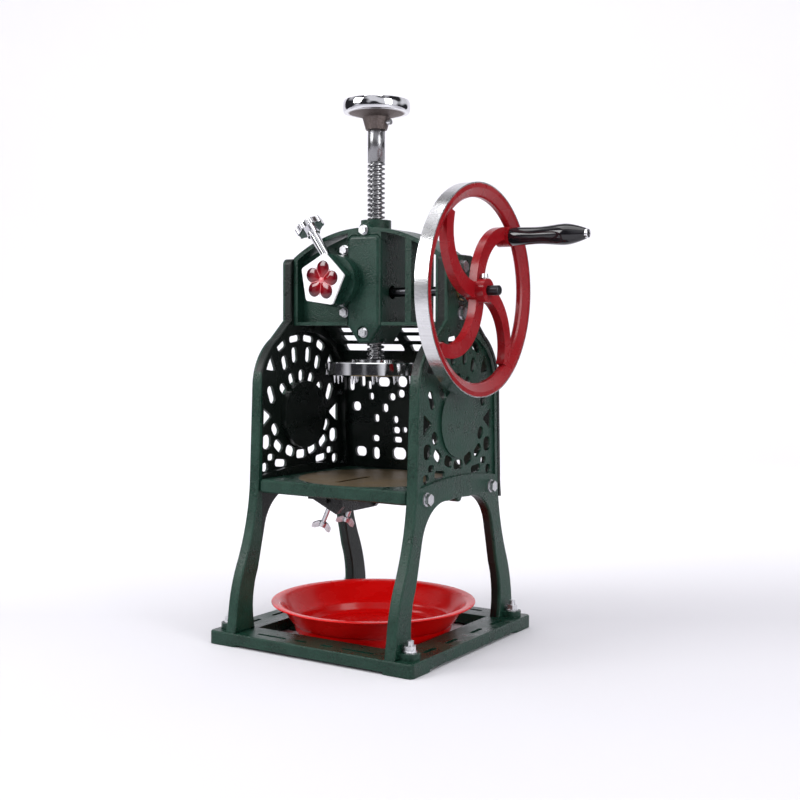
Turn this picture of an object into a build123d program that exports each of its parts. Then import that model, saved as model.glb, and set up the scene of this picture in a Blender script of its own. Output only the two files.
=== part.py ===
from build123d import *
import os
from math import asin, cos, degrees, hypot, pi, radians, sin

# Hand-cranked block ice shaver. Millimetres, +Z up, open front towards -Y, flywheel towards +X.
# The origin is on the floor, straight below the spindle.

os.makedirs("parts", exist_ok=True)

# ------------------------------------------------------------------ clearances
running_gap = 0.06  # radial, between a turning or sliding shaft and its bore
screw_gap = 0.1  # radial, between a screw's shank and its hole
seat_gap = 0.3  # between curved faces of neighbouring castings
float_gap = 0.4  # end play of turning pieces
spindle_gap = 0.6  # radial, where the thread passes through plain holes

# ------------------------------------------------------------------ the height that the head follows
crank_height = 456

# ------------------------------------------------------------------ base plate
base_side = 310
base_top = 17
rib_top = 6
base_corner = 6
pad_height = 3
pad_length = 45
rail_width = 45
grid_rib_width = 12
grid_rib_offset = 37
slot_edge_distance = 18
slot_width = 6
long_slot = 46
long_slot_place = 66
short_slot = 18
short_slot_place = 20
side_slot = 28
side_slot_places = (32, 85)

# ------------------------------------------------------------------ side castings
frame_edge_inset = 26  # from the base's edge to the casting's outer face
frame_thickness = 15
outer_recess = 2.5
inner_recess = 8.5
rim_width = 8
toe_inset = 2
toe_half = base_side / 2 - toe_inset
neck_half = 34
neck_top = crank_height + 46
neck_root = crank_height - 37
neck_corner = 8
body_half = 99.5
shoulder_radius = 75
shoulder_height = 330
shoulder_angle = 60
leg_top = (105, 205)
leg_bend = (114, 152)
knee = (133, 100)
calf = (144.5, 66)
ankle = (149, 38)
arch_foot = 111
foot_tab_radius = 12
arch_calf = (114.5, 48)
arch_knee = (104, 94)
arch_spring = (89, 152)
arch_haunch = (69, 181)
arch_crown = (27, 192.6)
crown_height = 194
pendant_radius = 6.5
medallion_height = 291
medallion_radius = 46
recess_crown = 405
recess_turn = (50, 393)
band_side_height = 215
band_middle_height = 222
foot_tab_height = 8
edge_round = 2

# ------------------------------------------------------------------ fretwork openings, (y, z, width, height, lean)
crest_height = 288  # centre of the arc of slots over the medallion
crest_radius = 56
crest_angles = (0, 23, 46)
crest_size = (12, 17)
rounded_windows = (
    (15.5, 394.5, 23, 9, -8),
    (44.5, 385.5, 19, 12, -28),
    (25, 242, 20, 14, 20),
    (51, 250.5, 20, 13, 38),
    (76, 257.5, 18, 19, 0),
    (67, 236.5, 14, 9, 0),
    (46, 227, 25, 10, 6),
    (79.5, 224, 13, 12, 0),
)
slot_windows = (
    (15.5, 372.5, 12, 22, -6),
    (37, 362, 12, 20, -16),
    (66, 320, 13, 25, -22),
    (58, 273, 13, 18, -35),
)
triangle_windows = (
    ((56, 351), (79, 354), (67, 375)),
    ((86, 305), (86, 275), (64, 291)),
)
triangle_corner = 2.5
middle_window = (236, 22, 12)

# ------------------------------------------------------------------ back panel
panel_thickness = 5
panel_gap = 0.9
panel_flare = 3
panel_bottom = 184
panel_top_share = 0.75  # how far the panel runs up the slope between shoulder and neck
panel_windows = (  # (x, z, width, height)
    (-108, 330, 10, 19),
    (-88, 335, 8, 16),
    (-77, 329, 7, 12),
    (-53, 334, 21, 13),
    (-22, 335, 17, 15),
    (-74, 313, 8, 10),
    (-39, 313, 11, 10),
    (-24, 318, 12, 11),
    (-100, 298, 15, 13),
    (-51, 297, 10, 12),
    (-66, 282, 9, 11),
    (-34, 281, 9, 10),
    (-33, 266, 12, 9),
    (-19, 267, 8, 8),
    (-31, 252.5, 14, 8),
    (-68, 253, 12, 9),
    (-94, 233, 19, 14),
    (-68, 231.5, 12, 17),
    (-29, 233, 23, 17),
)
panel_slots = ((383, 98, 9), (396, 92, 7), (407, 88, 5.5))  # (z, length, height)
panel_slot_gap = 12
panel_screw_heights = (216, 317)

# ------------------------------------------------------------------ deck and blade
deck_top = 211
deck_bottom = 194
deck_front = 105
deck_corner = 8
deck_back = 100
deck_skin = 7
deck_side_wall = 25
deck_end_wall = 12
deck_bolt_y = 82.6
deck_bolt_height = 200.5
deck_bolt_reach = 12
disc_radius = 101
disc_thickness = 3
slot_x = -12
slot_gap_width = 8
slot_front = 73
slot_back = 3
blade_angle = 30
blade_thickness = 2.5
blade_length = 30
blade_side_gap = 2
blade_rise = 0.6
holder_left = -50
holder_right = 4
holder_bottom = 168
holder_slope = 40
holder_cheek = 7
wing_bolt_tilt = 25
wing_bolt_x = -28
wing_bolt_spacing = 54
wing_bolt_radius = 3
wing_bolt_drop = 28
wing_span = 25
wing_height = 11
wing_thickness = 3

# ------------------------------------------------------------------ head casting
arch_height = crank_height + 83.5
arch_end_height = crank_height + 47
arch_thickness = 5
head_half_depth = 28
head_bottom = crank_height - 43.5
head_rib = 4.5
ear_thickness = 6
box_half = 26
box_wall = 4
box_back = 36
vee_half = 9
vee_bottom = crank_height - 66.5
web_front = 14
web_thickness = 6
web_bend = 65
web_rise = 16
bearing_wall_inner = 63
bearing_wall_outer = 72
bearing_boss_radius = 14.5
top_boss_radius = 20
top_boss_height = crank_height + 94
lower_boss_radius = 21.5
nose_radius = 14
nose_bottom = crank_height - 64
shelf_height = crank_height + 17
shelf_thickness = 2.7
nut_height = 30
neck_bolt_heights = (crank_height - 28, crank_height + 30.5)

# ------------------------------------------------------------------ gear cover
lug_front = 28
cover_front = 31
cover_wall = 4
cover_round = 6
cover_corner = 9
cover_top = crank_height + 74
lug_radius = 9
upper_lug_height = crank_height + 80
lower_lug_height = crank_height - 53

# ------------------------------------------------------------------ feed housing and knob
feed_x = -44.8
feed_height = crank_height + 14.5
feed_drum_x = -38
feed_drum_radius = 34
feed_drum_front = 44
feed_ear_x = -35
feed_ear_offset = 41
feed_ear_radius = 8
feed_ear_thickness = 7
pentagon_radius = 36
pentagon_turn = 82
pentagon_corner = 4
feed_front = 57
badge_thickness = 3
petal_ring_radius = 15.5
petal_radius = 8
petal_thickness = 2
plunger_x_offset = 13.4
plunger_angle = 125
plunger_depth = 36
plunger_radius = 6.7
plunger_inner = 8
knob_distance = 87.9
knob_radius = 20
knob_thickness = 9.5
knob_lobes = 8
plunger_neck_radius = 9

# ------------------------------------------------------------------ drive
gear_teeth = 28
pinion_teeth = 14
tooth_module = 1.4
tooth_width_share = 0.43
tooth_addendum = 0.75 * tooth_module
tooth_dedendum = 1.05 * tooth_module
tooth_flank_slope = 0.36
face_share = 0.31
blank_margin = 0.03  # share of the cone distance by which the blanks pass the teeth
gear_mounting = 24  # from the crank's axis down to the gear's back
gear_back_radius = 19.3
thrust_thickness = 3.8
gear_bush_length = 14
sleeve_radius = 16
sleeve_recess = 0.5
boss_step = 4  # by which the lower boss rises over the cavity's floor
bush_wall = 2.6
shaft_radius = 6.25
shaft_nose_radius = 4.6
shaft_inner_end = 14.5
shaft_outer_end = 184
pinion_hub_end = 21.4
shaft_bush_radius = 9
bush_flange_radius = 12
bush_flange = 2
collar_radius = 11

# ------------------------------------------------------------------ spindle, wheel and ice disc
thread_radius = 11.5
thread_root = 7.75
thread_pitch = 6.3
plain_radius = 11.25
thread_end = crank_height + 169.5
spindle_bottom = crank_height - 102.5
keyway_half_width = 2.5
keyway_floor = 8.9
key_gap = 0.15
handwheel_radius = 44.3
handwheel_top = crank_height + 249
handwheel_rim_bottom = handwheel_top - 15
hub_top = handwheel_top - 18
hub_bottom = handwheel_top - 37
hub_top_radius = 18.5
hub_bottom_radius = 14
handwheel_screw_height = handwheel_top - 28
ice_disc_radius = 66
ice_disc_bottom = crank_height - 108.5
ice_disc_top = ice_disc_bottom + 17
ice_hub_radius = 31.5
ice_hub_top = ice_disc_top + 3
spike_length = 11
spike_radius = 2.2
spike_taper = 8
spike_rings = ((54, 12), (30, 6))

# ------------------------------------------------------------------ flywheel and handle
rim_inner_face = 142
rim_outer_face = 160
wheel_radius = 134
rim_band = 7
rim_bore = 116
rim_inner_width = 9
spoke_count = 4
spoke_arc_radius = 71
spoke_heading = 94
spoke_hub_width = 20
spoke_rim_width = 16
spoke_thickness = 11
hub_radius = 15
hub_outer_face = 168
handle_radius = 105
handle_angle = 43.5
handle_boss_radius = 13
stud_radius = 4
stud_end = 268
grip_start = 160.3
grip_profile = ((0, 11.5), (9, 11.8), (41, 10.8), (73, 13.75), (97, 9.5), (104, 6.8))
end_nut_radius = 6

# ------------------------------------------------------------------ drip tray
tray_y = -3
tray_bottom_radius = 99
tray_rim_radius = 136
tray_wall = 2.5
tray_rim_height = 49
tray_foot_radius = 104
tray_foot_height = 3
tray_step_radius = 106
tray_step_height = 14.5
tray_ledge = 2.5
tray_mouth_radius = 125

# ------------------------------------------------------------------ fasteners
m8 = {"shank": 4, "across": 13, "head": 5.5, "nut": 6.5, "washer": 8.5, "washer_thickness": 1.6}
m6 = {"shank": 3, "across": 10, "head": 4, "nut": 5, "washer": 6.5, "washer_thickness": 1.4}

# ------------------------------------------------------------------ worked out from the above
frame_outer = base_side / 2 - frame_edge_inset
frame_inner = frame_outer - frame_thickness
foot_bolt_x = frame_outer + m8["washer"] + 2 * seat_gap
foot_bolt_y = toe_half - 21
shoulder_centre = body_half - shoulder_radius
gear_pitch_radius = tooth_module * gear_teeth / 2
pinion_pitch_radius = tooth_module * pinion_teeth / 2
cone_distance = hypot(gear_pitch_radius, pinion_pitch_radius)
face_start = 1 - face_share
gear_back_height = crank_height - gear_mounting
lower_boss_top = gear_back_height - thrust_thickness - float_gap / 2
lower_boss_bottom = lower_boss_top - gear_bush_length
sleeve_bottom = lower_boss_bottom + sleeve_recess
floor_height = lower_boss_top - boss_step
web_recesses = outer_recess, inner_recess
nut_bottom = shelf_height + shelf_thickness + float_gap
nut_top = nut_bottom + nut_height
cavity_top = nut_top + float_gap
bush_radius = sleeve_radius + running_gap + bush_wall
thread_bore = thread_radius + running_gap
right = (1, 0, 0)
left = (-1, 0, 0)
front = (0, -1, 0)
back = (0, 1, 0)
up = (0, 0, 1)
down = (0, 0, -1)


def shoulder_point(angle, inset=0):
    """Point on the shoulder's arc, at an angle above horizontal, in (y, z)."""
    radius = shoulder_radius - inset
    return (
        shoulder_centre + radius * cos(radians(angle)),
        shoulder_height + radius * sin(radians(angle)),
    )


def hex_bolt(seat, out, size, length):
    """Hexagon bolt: seat is the point under its head, out the way the head faces."""
    with BuildPart() as bolt:
        with BuildSketch(Plane(origin=seat, z_dir=out)):
            RegularPolygon(size["across"] / 2, 6, major_radius=False)
        extrude(amount=size["head"])
        with BuildSketch(Plane(origin=seat, z_dir=out)):
            Circle(size["shank"])
        extrude(amount=-length)
    return bolt.part


def round_screw(seat, out, radius, head_height, shank, length):
    """Round-headed screw with a driver slot."""
    with BuildPart() as screw:
        with BuildSketch(Plane(origin=seat, z_dir=out)):
            Circle(radius)
        extrude(amount=head_height, taper=12)
        with BuildSketch(Plane(origin=seat, z_dir=out)):
            Circle(shank)
        extrude(amount=-length)
        with BuildSketch(Plane(origin=seat, z_dir=out).offset(head_height)):
            Rectangle(2 * radius, radius / 4)
        extrude(amount=-head_height / 3, mode=Mode.SUBTRACT)
    return screw.part


def ring(seat, out, outer, inner, thickness):
    """Plain ring or washer standing on seat."""
    with BuildPart() as body:
        with BuildSketch(Plane(origin=seat, z_dir=out)):
            Circle(outer)
            Circle(inner, mode=Mode.SUBTRACT)
        extrude(amount=thickness)
    return body.part


def hex_nut(seat, out, size):
    """Hexagon nut standing on seat."""
    with BuildPart() as nut:
        with BuildSketch(Plane(origin=seat, z_dir=out)):
            RegularPolygon(size["across"] / 2, 6, major_radius=False)
            Circle(size["shank"] + screw_gap, mode=Mode.SUBTRACT)
        extrude(amount=size["nut"])
    return nut.part


def washer(seat, out, size):
    """Washer of a fastener size standing on seat."""
    return ring(seat, out, size["washer"], size["shank"] + screw_gap, size["washer_thickness"])


def beyond(seat, out, distance):
    """The point at a distance from seat along out."""
    return tuple(s + distance * o for s, o in zip(seat, out))


def save(piece, label):
    """Label a finished piece and write its file."""
    piece.part.label = label
    export_step(piece.part, f"parts/{label}.step")


# ------------------------------------------------------------------ base plate
rail_middle = base_side / 2 - slot_edge_distance
foot_bolt_places = [
    (sx * foot_bolt_x, sy * foot_bolt_y) for sx in (-1, 1) for sy in (-1, 1)
]
window_side = base_side - 2 * rail_width
pocket_depth = pad_height + m8["head"]

with BuildPart() as base_plate:
    with BuildSketch(Plane.XY.offset(pad_height)):
        RectangleRounded(base_side, base_side, base_corner)
        Rectangle(window_side, window_side, mode=Mode.SUBTRACT)
        for side in (-1, 1):
            for place in (-long_slot_place, long_slot_place):
                with Locations((place, side * rail_middle)):
                    SlotOverall(long_slot, slot_width, mode=Mode.SUBTRACT)
            for place in (-short_slot_place, short_slot_place):
                with Locations((place, side * rail_middle)):
                    SlotOverall(short_slot, slot_width, mode=Mode.SUBTRACT)
            for place in side_slot_places:
                for end in (-1, 1):
                    with Locations((side * rail_middle, end * place)):
                        SlotOverall(side_slot, slot_width, rotation=90, mode=Mode.SUBTRACT)
    extrude(amount=base_top - pad_height)
    with BuildSketch():
        for side in (-1, 1):
            with Locations((0, side * grid_rib_offset)):
                Rectangle(window_side, grid_rib_width)
            with Locations((side * grid_rib_offset, 0)):
                Rectangle(grid_rib_width, window_side)
    extrude(amount=rib_top)
    pad_spacing = base_side - pad_length
    with BuildSketch():
        with GridLocations(pad_spacing, pad_spacing, 2, 2):
            RectangleRounded(pad_length, pad_length, base_corner)
    extrude(amount=pad_height)
    with Locations(*[(x, y, base_top) for x, y in foot_bolt_places]):
        Hole(m8["shank"] + screw_gap)
    with BuildSketch():
        with Locations(*foot_bolt_places):
            Circle(m8["across"] / 2 + 2)
    extrude(amount=pocket_depth, mode=Mode.SUBTRACT)
    chamfer(base_plate.faces().sort_by(Axis.Z)[-1].outer_wire().edges(), 1.5)
save(base_plate, "base_plate")

# ------------------------------------------------------------------ side castings


def rounded_triangle(corners):
    """Three-sided opening with rounded corners."""
    with BuildSketch() as opening:
        with BuildLine():
            Polyline(*corners, close=True)
        make_face()
        fillet(opening.vertices(), triangle_corner)
    return opening.sketch


def fretwork():
    """Openings of the openwork web, drawn in (y, z) and alike on both sides of the middle."""
    with BuildSketch() as pattern:
        for angle in crest_angles:
            for side in (-1, 1) if angle else (1,):
                turn = side * angle
                place = (crest_radius * sin(radians(turn)),
                         crest_height + crest_radius * cos(radians(turn)))
                with Locations(place):
                    SlotOverall(crest_size[1], crest_size[0], rotation=90 - turn)
        for side in (-1, 1):
            for y, z, width, height, lean in rounded_windows:
                with Locations((side * y, z)):
                    corner = min(width, height) / 2.6
                    RectangleRounded(width, height, corner, rotation=side * lean)
            for y, z, width, height, lean in slot_windows:
                with Locations((side * y, z)):
                    SlotOverall(height, width, rotation=90 + side * lean)
        middle_z, middle_width, middle_height = middle_window
        with Locations((0, middle_z)):
            RectangleRounded(middle_width, middle_height, middle_height / 3)
        for corners in triangle_windows:
            for side in (-1, 1):
                add(rounded_triangle([(side * y, z) for y, z in corners]))
    return pattern.sketch


def side_outline():
    """Outer outline of a side casting with its arch, in (y, z)."""
    with BuildSketch() as outline:
        with BuildLine():
            Polyline((0, neck_top), (neck_half, neck_top), (neck_half, neck_root))
            Line((neck_half, neck_root), shoulder_point(shoulder_angle))
            ThreePointArc(
                shoulder_point(shoulder_angle),
                shoulder_point(shoulder_angle / 2),
                shoulder_point(0),
            )
            Line(shoulder_point(0), leg_top)
            ThreePointArc(leg_top, leg_bend, knee)
            ThreePointArc(knee, calf, ankle)
            Polyline(ankle, (toe_half, base_top), (arch_foot, base_top))
            ThreePointArc((arch_foot, base_top), arch_calf, arch_knee)
            Line(arch_knee, arch_spring)
            ThreePointArc(arch_spring, arch_haunch, arch_crown)
            Polyline(arch_crown, (0, crown_height))
            mirror(about=Plane.YZ)
        make_face()
        neck_corners = outline.vertices().filter_by_position(Axis.Y, neck_top - 1, neck_top + 1)
        fillet(neck_corners, neck_corner)
        with Locations((0, crown_height + 1)):
            Circle(pendant_radius)
    return outline.sketch


def web_recess_outline():
    """The sunk field of the upper casting, inside its rim, in (y, z)."""
    inner_start = shoulder_point(shoulder_angle, rim_width)
    inner_side = shoulder_point(0, rim_width)
    side_bottom = (leg_top[0] - rim_width - 1, band_side_height)
    with BuildSketch() as field:
        with BuildLine():
            ThreePointArc(
                (-recess_turn[0], recess_turn[1]), (0, recess_crown), recess_turn
            )
            for side in (-1, 1):
                def place(point):
                    return (side * point[0], point[1])
                Line(place(recess_turn), place(inner_start))
                ThreePointArc(
                    place(inner_start),
                    place(shoulder_point(shoulder_angle / 2, rim_width)),
                    place(inner_side),
                )
                Line(place(inner_side), place(side_bottom))
            ThreePointArc(
                side_bottom, (0, band_middle_height), (-side_bottom[0], side_bottom[1])
            )
        make_face()
        with Locations((0, medallion_height)):
            Circle(medallion_radius, mode=Mode.SUBTRACT)
    return field.sketch


neck_bore = shaft_bush_radius + seat_gap


def side_casting(side):
    """Cast side frame: side is -1 for the left one and 1 for the right one."""
    low_x = min(side * frame_inner, side * frame_outer)
    high_x = low_x + frame_thickness
    with BuildPart() as casting:
        with BuildSketch(Plane.YZ.offset(low_x)):
            add(side_outline())
        extrude(amount=frame_thickness)
        rims = casting.faces().filter_by(Axis.X).edges()
        fillet(rims, edge_round)
        low_recess, high_recess = web_recesses if side < 0 else web_recesses[::-1]
        for face_x, depth in ((low_x, low_recess), (high_x, -high_recess)):
            with BuildSketch(Plane.YZ.offset(face_x)):
                add(web_recess_outline())
            extrude(amount=depth, mode=Mode.SUBTRACT)
        with BuildSketch(Plane.YZ.offset(low_x)):
            add(fretwork())
        extrude(amount=frame_thickness, mode=Mode.SUBTRACT)
        with BuildSketch(Plane.XY.offset(base_top)):
            for end in (-1, 1):
                with Locations((side * foot_bolt_x, end * foot_bolt_y)):
                    Circle(foot_tab_radius)
                with Locations((side * (foot_bolt_x + frame_outer) / 2, end * foot_bolt_y)):
                    Rectangle(foot_bolt_x - frame_outer + 2, 2 * foot_tab_radius)
        extrude(amount=foot_tab_height)
        with Locations(*[(side * foot_bolt_x, end * foot_bolt_y, base_top + foot_tab_height)
                         for end in (-1, 1)]):
            Hole(m8["shank"] + screw_gap)
        outer_face = Plane(origin=(side * frame_outer, 0, 0), x_dir=(0, 1, 0), z_dir=right)
        with BuildSketch(outer_face):
            with Locations(*[(0, z) for z in neck_bolt_heights],
                           *[(end * deck_bolt_y, deck_bolt_height) for end in (-1, 1)]):
                Circle(m8["shank"] + screw_gap)
            if side > 0:
                with Locations((0, crank_height)):
                    Circle(neck_bore)
        extrude(amount=-side * frame_thickness, mode=Mode.SUBTRACT)
        for height in panel_screw_heights:
            with BuildSketch(Plane.XZ.offset(-body_half - 8)):
                with Locations((side * (frame_inner + frame_outer) / 2, height)):
                    Circle(m6["shank"] + screw_gap)
            extrude(amount=rim_width + 12, mode=Mode.SUBTRACT)
    return casting


left_side_frame = side_casting(-1)
save(left_side_frame, "left_side_frame")
right_side_frame = side_casting(1)
save(right_side_frame, "right_side_frame")

# ------------------------------------------------------------------ back panel
def leg_side_y(height):
    """Half depth of the casting between the leg's top and the shoulder."""
    share = (height - leg_top[1]) / (shoulder_height - leg_top[1])
    return leg_top[0] + share * (body_half - leg_top[0])


def slope_point(share, inset):
    """Point on the straight slope between shoulder and neck, set out from it by inset."""
    start_y, start_z = shoulder_point(shoulder_angle)
    run_y, run_z = neck_half - start_y, neck_root - start_z
    length = hypot(run_y, run_z)
    return (
        start_y + share * run_y + inset * run_z / length,
        start_z + share * run_z - inset * run_y / length,
    )


def panel_line(inset):
    """Points of the panel's section, inset out from the castings' rear edges, in (y, z)."""
    bottom = (leg_top[0] + panel_flare + inset, panel_bottom)
    leg = (leg_top[0] + inset, leg_top[1])
    bend = (body_half + inset, shoulder_height)
    middle = shoulder_point(shoulder_angle / 2, -inset)
    end = shoulder_point(shoulder_angle, -inset)
    return bottom, leg, bend, middle, end, slope_point(panel_top_share, inset)


with BuildPart() as back_panel:
    with BuildSketch(Plane.YZ.offset(-frame_outer)):
        with BuildLine():
            low_in, leg_in, bend_in, middle_in, end_in, top_in = panel_line(panel_gap)
            low_out, leg_out, bend_out, middle_out, end_out, top_out = panel_line(
                panel_gap + panel_thickness
            )
            Polyline(low_in, leg_in, bend_in)
            ThreePointArc(bend_in, middle_in, end_in)
            Polyline(end_in, top_in, top_out, end_out)
            ThreePointArc(end_out, middle_out, bend_out)
            Polyline(bend_out, leg_out, low_out, low_in)
        make_face()
    extrude(amount=2 * frame_outer)
    with BuildSketch(Plane.XZ.offset(-body_half)):
        for side in (-1, 1):
            for x, z, width, height in panel_windows:
                with Locations((-side * x, z)):
                    RectangleRounded(width, height, min(width, height) / 2.3)
            for z, length, height in panel_slots:
                with Locations((side * (length + panel_slot_gap) / 2, z)):
                    RectangleRounded(length, height, height / 3)
            for height in panel_screw_heights:
                with Locations((side * (frame_inner + frame_outer) / 2, height)):
                    Circle(m6["shank"] + screw_gap)
    extrude(amount=body_half, both=True, mode=Mode.SUBTRACT)
save(back_panel, "back_panel")

with BuildPart() as back_panel_screws:
    for side in (-1, 1):
        for height in panel_screw_heights:
            seat_y = leg_side_y(height) + panel_gap + panel_thickness + seat_gap
            seat = (side * (frame_inner + frame_outer) / 2, seat_y, height)
            add(round_screw(seat, back, m6["washer"] - 1, 3, m6["shank"], panel_thickness + 8))
save(back_panel_screws, "back_panel_screws")

# ------------------------------------------------------------------ deck plate and blade disc
deck_middle_y = (deck_back - deck_front) / 2
deck_depth = deck_back + deck_front
slot_middle_y = (slot_back - slot_front) / 2
slot_length = slot_back + slot_front
blade_run = blade_length * cos(radians(blade_angle))
window_left = slot_x - blade_run - 4
window_right = slot_x + slot_gap_width + 7
disc_seat = deck_top - disc_thickness

with BuildPart() as deck_plate:
    with BuildSketch(Plane.XY.offset(deck_bottom)):
        with Locations((0, deck_middle_y)):
            Rectangle(2 * frame_inner, deck_depth)
    extrude(amount=deck_top - deck_bottom)
    fillet(deck_plate.edges().filter_by(Axis.Z).group_by(Axis.Y)[0], deck_corner)
    chamfer(deck_plate.faces().sort_by(Axis.Y)[0].edges().filter_by(Axis.X), edge_round)
    with BuildSketch(Plane.XY.offset(deck_top)):
        Circle(disc_radius + seat_gap)
    extrude(amount=-disc_thickness, mode=Mode.SUBTRACT)
    with BuildSketch(Plane.XY.offset(deck_bottom)):
        with Locations((0, deck_middle_y)):
            RectangleRounded(2 * (frame_inner - deck_side_wall), deck_depth - 2 * deck_end_wall, 8)
    extrude(amount=deck_top - deck_bottom - deck_skin, mode=Mode.SUBTRACT)
    with BuildSketch(Plane.XY.offset(deck_bottom)):
        with Locations(((window_left + window_right) / 2, slot_middle_y)):
            Rectangle(window_right - window_left, slot_length + 4)
    extrude(amount=deck_top - deck_bottom, mode=Mode.SUBTRACT)
    for side in (-1, 1):
        with BuildSketch(Plane(origin=(side * frame_inner, 0, 0), x_dir=(0, 1, 0), z_dir=right)):
            for end in (-1, 1):
                with Locations((end * deck_bolt_y, deck_bolt_height)):
                    Circle(m8["shank"] + screw_gap)
        extrude(amount=-side * deck_side_wall, mode=Mode.SUBTRACT)
save(deck_plate, "deck_plate")

with BuildPart() as blade_disc:
    with BuildSketch(Plane.XY.offset(disc_seat)):
        Circle(disc_radius)
        with Locations((slot_x, slot_middle_y)):
            SlotOverall(slot_length, slot_gap_width, rotation=90, mode=Mode.SUBTRACT)
    extrude(amount=disc_thickness)
save(blade_disc, "blade_disc")


def side_bolts(places, size, reach):
    """Bolts through both side castings from outside, at (y, z) places, reaching inwards."""
    with BuildPart() as group:
        for side in (-1, 1):
            out = (side, 0, 0)
            for y, z in places:
                seat = (side * (frame_outer + size["washer_thickness"]), y, z)
                length = size["washer_thickness"] + frame_thickness + reach
                add(hex_bolt(seat, out, size, length))
    return group


def side_washers(places, size):
    """Washers under the heads of the side bolts."""
    with BuildPart() as group:
        for side in (-1, 1):
            for y, z in places:
                add(washer((side * frame_outer, y, z), (side, 0, 0), size))
    return group


deck_bolt_places = [(end * deck_bolt_y, deck_bolt_height) for end in (-1, 1)]
neck_bolt_places = [(0, z) for z in neck_bolt_heights]
save(side_bolts(deck_bolt_places, m8, deck_bolt_reach), "deck_bolts")
save(side_washers(deck_bolt_places, m8), "deck_washers")
save(side_bolts(neck_bolt_places, m8, ear_thickness - 1), "neck_bolts")
save(side_washers(neck_bolt_places, m8), "neck_washers")

# ------------------------------------------------------------------ foot bolts
tab_top = base_top + foot_tab_height
nut_seat = tab_top + m8["washer_thickness"]
with BuildPart() as foot_bolts:
    for x, y in foot_bolt_places:
        stud_length = nut_seat + m8["nut"] + 6 - pocket_depth
        add(hex_bolt((x, y, pocket_depth), down, m8, stud_length))
save(foot_bolts, "foot_bolts")
with BuildPart() as foot_washers:
    for x, y in foot_bolt_places:
        add(washer((x, y, tab_top), up, m8))
save(foot_washers, "foot_washers")
with BuildPart() as foot_nuts:
    for x, y in foot_bolt_places:
        add(hex_nut((x, y, nut_seat), up, m8))
save(foot_nuts, "foot_nuts")

# ------------------------------------------------------------------ blade, its holder, wing bolts
blade_cos = cos(radians(blade_angle))
blade_sin = sin(radians(blade_angle))
edge_point = (slot_x + slot_gap_width / 2 - 1, deck_top + blade_rise)


def along_blade(distance, depth):
    """Point at a distance down the blade from its edge, and a depth under its top, (x, z)."""
    return (
        edge_point[0] - distance * blade_cos + depth * blade_sin,
        edge_point[1] - distance * blade_sin - depth * blade_cos,
    )


blade_width = slot_length - 2 * blade_side_gap
with BuildPart() as blade:
    with BuildSketch(Plane.XZ.offset(-(slot_back - blade_side_gap))):
        with BuildLine():
            Polyline(
                along_blade(0, 0),
                along_blade(blade_length, 0),
                along_blade(blade_length, blade_thickness),
                along_blade(2 * blade_thickness, blade_thickness),
                close=True,
            )
        make_face()
    extrude(amount=blade_width)
save(blade, "blade")

bed_depth = blade_thickness + seat_gap
deck_ceiling = deck_top - deck_skin
tilt_cos = cos(radians(wing_bolt_tilt))
tilt_sin = sin(radians(wing_bolt_tilt))
bevel_high = (holder_left + 8, holder_bottom + 20)
bevel_low = (bevel_high[0] + holder_slope * tilt_cos, bevel_high[1] - holder_slope * tilt_sin)
bed_top = along_blade(8, bed_depth)
bed_low = along_blade(blade_length + 2, bed_depth)
wing_y_places = [slot_middle_y + side * wing_bolt_spacing / 2 for side in (-1, 1)]
drill_share = (wing_bolt_x - bevel_high[0]) / (bevel_low[0] - bevel_high[0])
wing_seat_z = bevel_high[1] + drill_share * (bevel_low[1] - bevel_high[1])
bolt_out = (-tilt_sin, 0, -tilt_cos)
cheek_front = -slot_front - 2 - holder_cheek
cheek_back = slot_back + 2 + holder_cheek
cheek_inner_length = cheek_back - cheek_front - 2 * holder_cheek

with BuildPart() as blade_holder:
    with BuildSketch(Plane.XZ.offset(-(cheek_back - holder_cheek))):
        with BuildLine():
            Polyline(bed_top, bed_low, bevel_high, bevel_low,
                     (bevel_low[0] + 2, bed_top[1]), close=True)
        make_face()
    extrude(amount=cheek_inner_length)
    for cheek in (cheek_back, cheek_front + holder_cheek):
        with BuildSketch(Plane.XZ.offset(-cheek)):
            with BuildLine():
                Polyline(
                    (holder_left, deck_ceiling),
                    (holder_left, bevel_high[1]),
                    bevel_high,
                    bevel_low,
                    (holder_right, bevel_low[1] + 10),
                    (holder_right, deck_ceiling),
                    close=True,
                )
            make_face()
        extrude(amount=holder_cheek)
    for y in wing_y_places:
        with BuildSketch(Plane(origin=(wing_bolt_x, y, wing_seat_z), z_dir=bolt_out)):
            Circle(wing_bolt_radius + running_gap)
        extrude(amount=-12, mode=Mode.SUBTRACT)
save(blade_holder, "blade_holder")

with BuildPart() as holder_bolts:
    for y, out in ((cheek_front, front), (cheek_back, back)):
        with BuildSketch(Plane(origin=(wing_bolt_x + 6, y, holder_bottom + 22), z_dir=out)):
            Rectangle(10, 10)
        extrude(amount=5)
save(holder_bolts, "holder_bolts")


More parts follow.
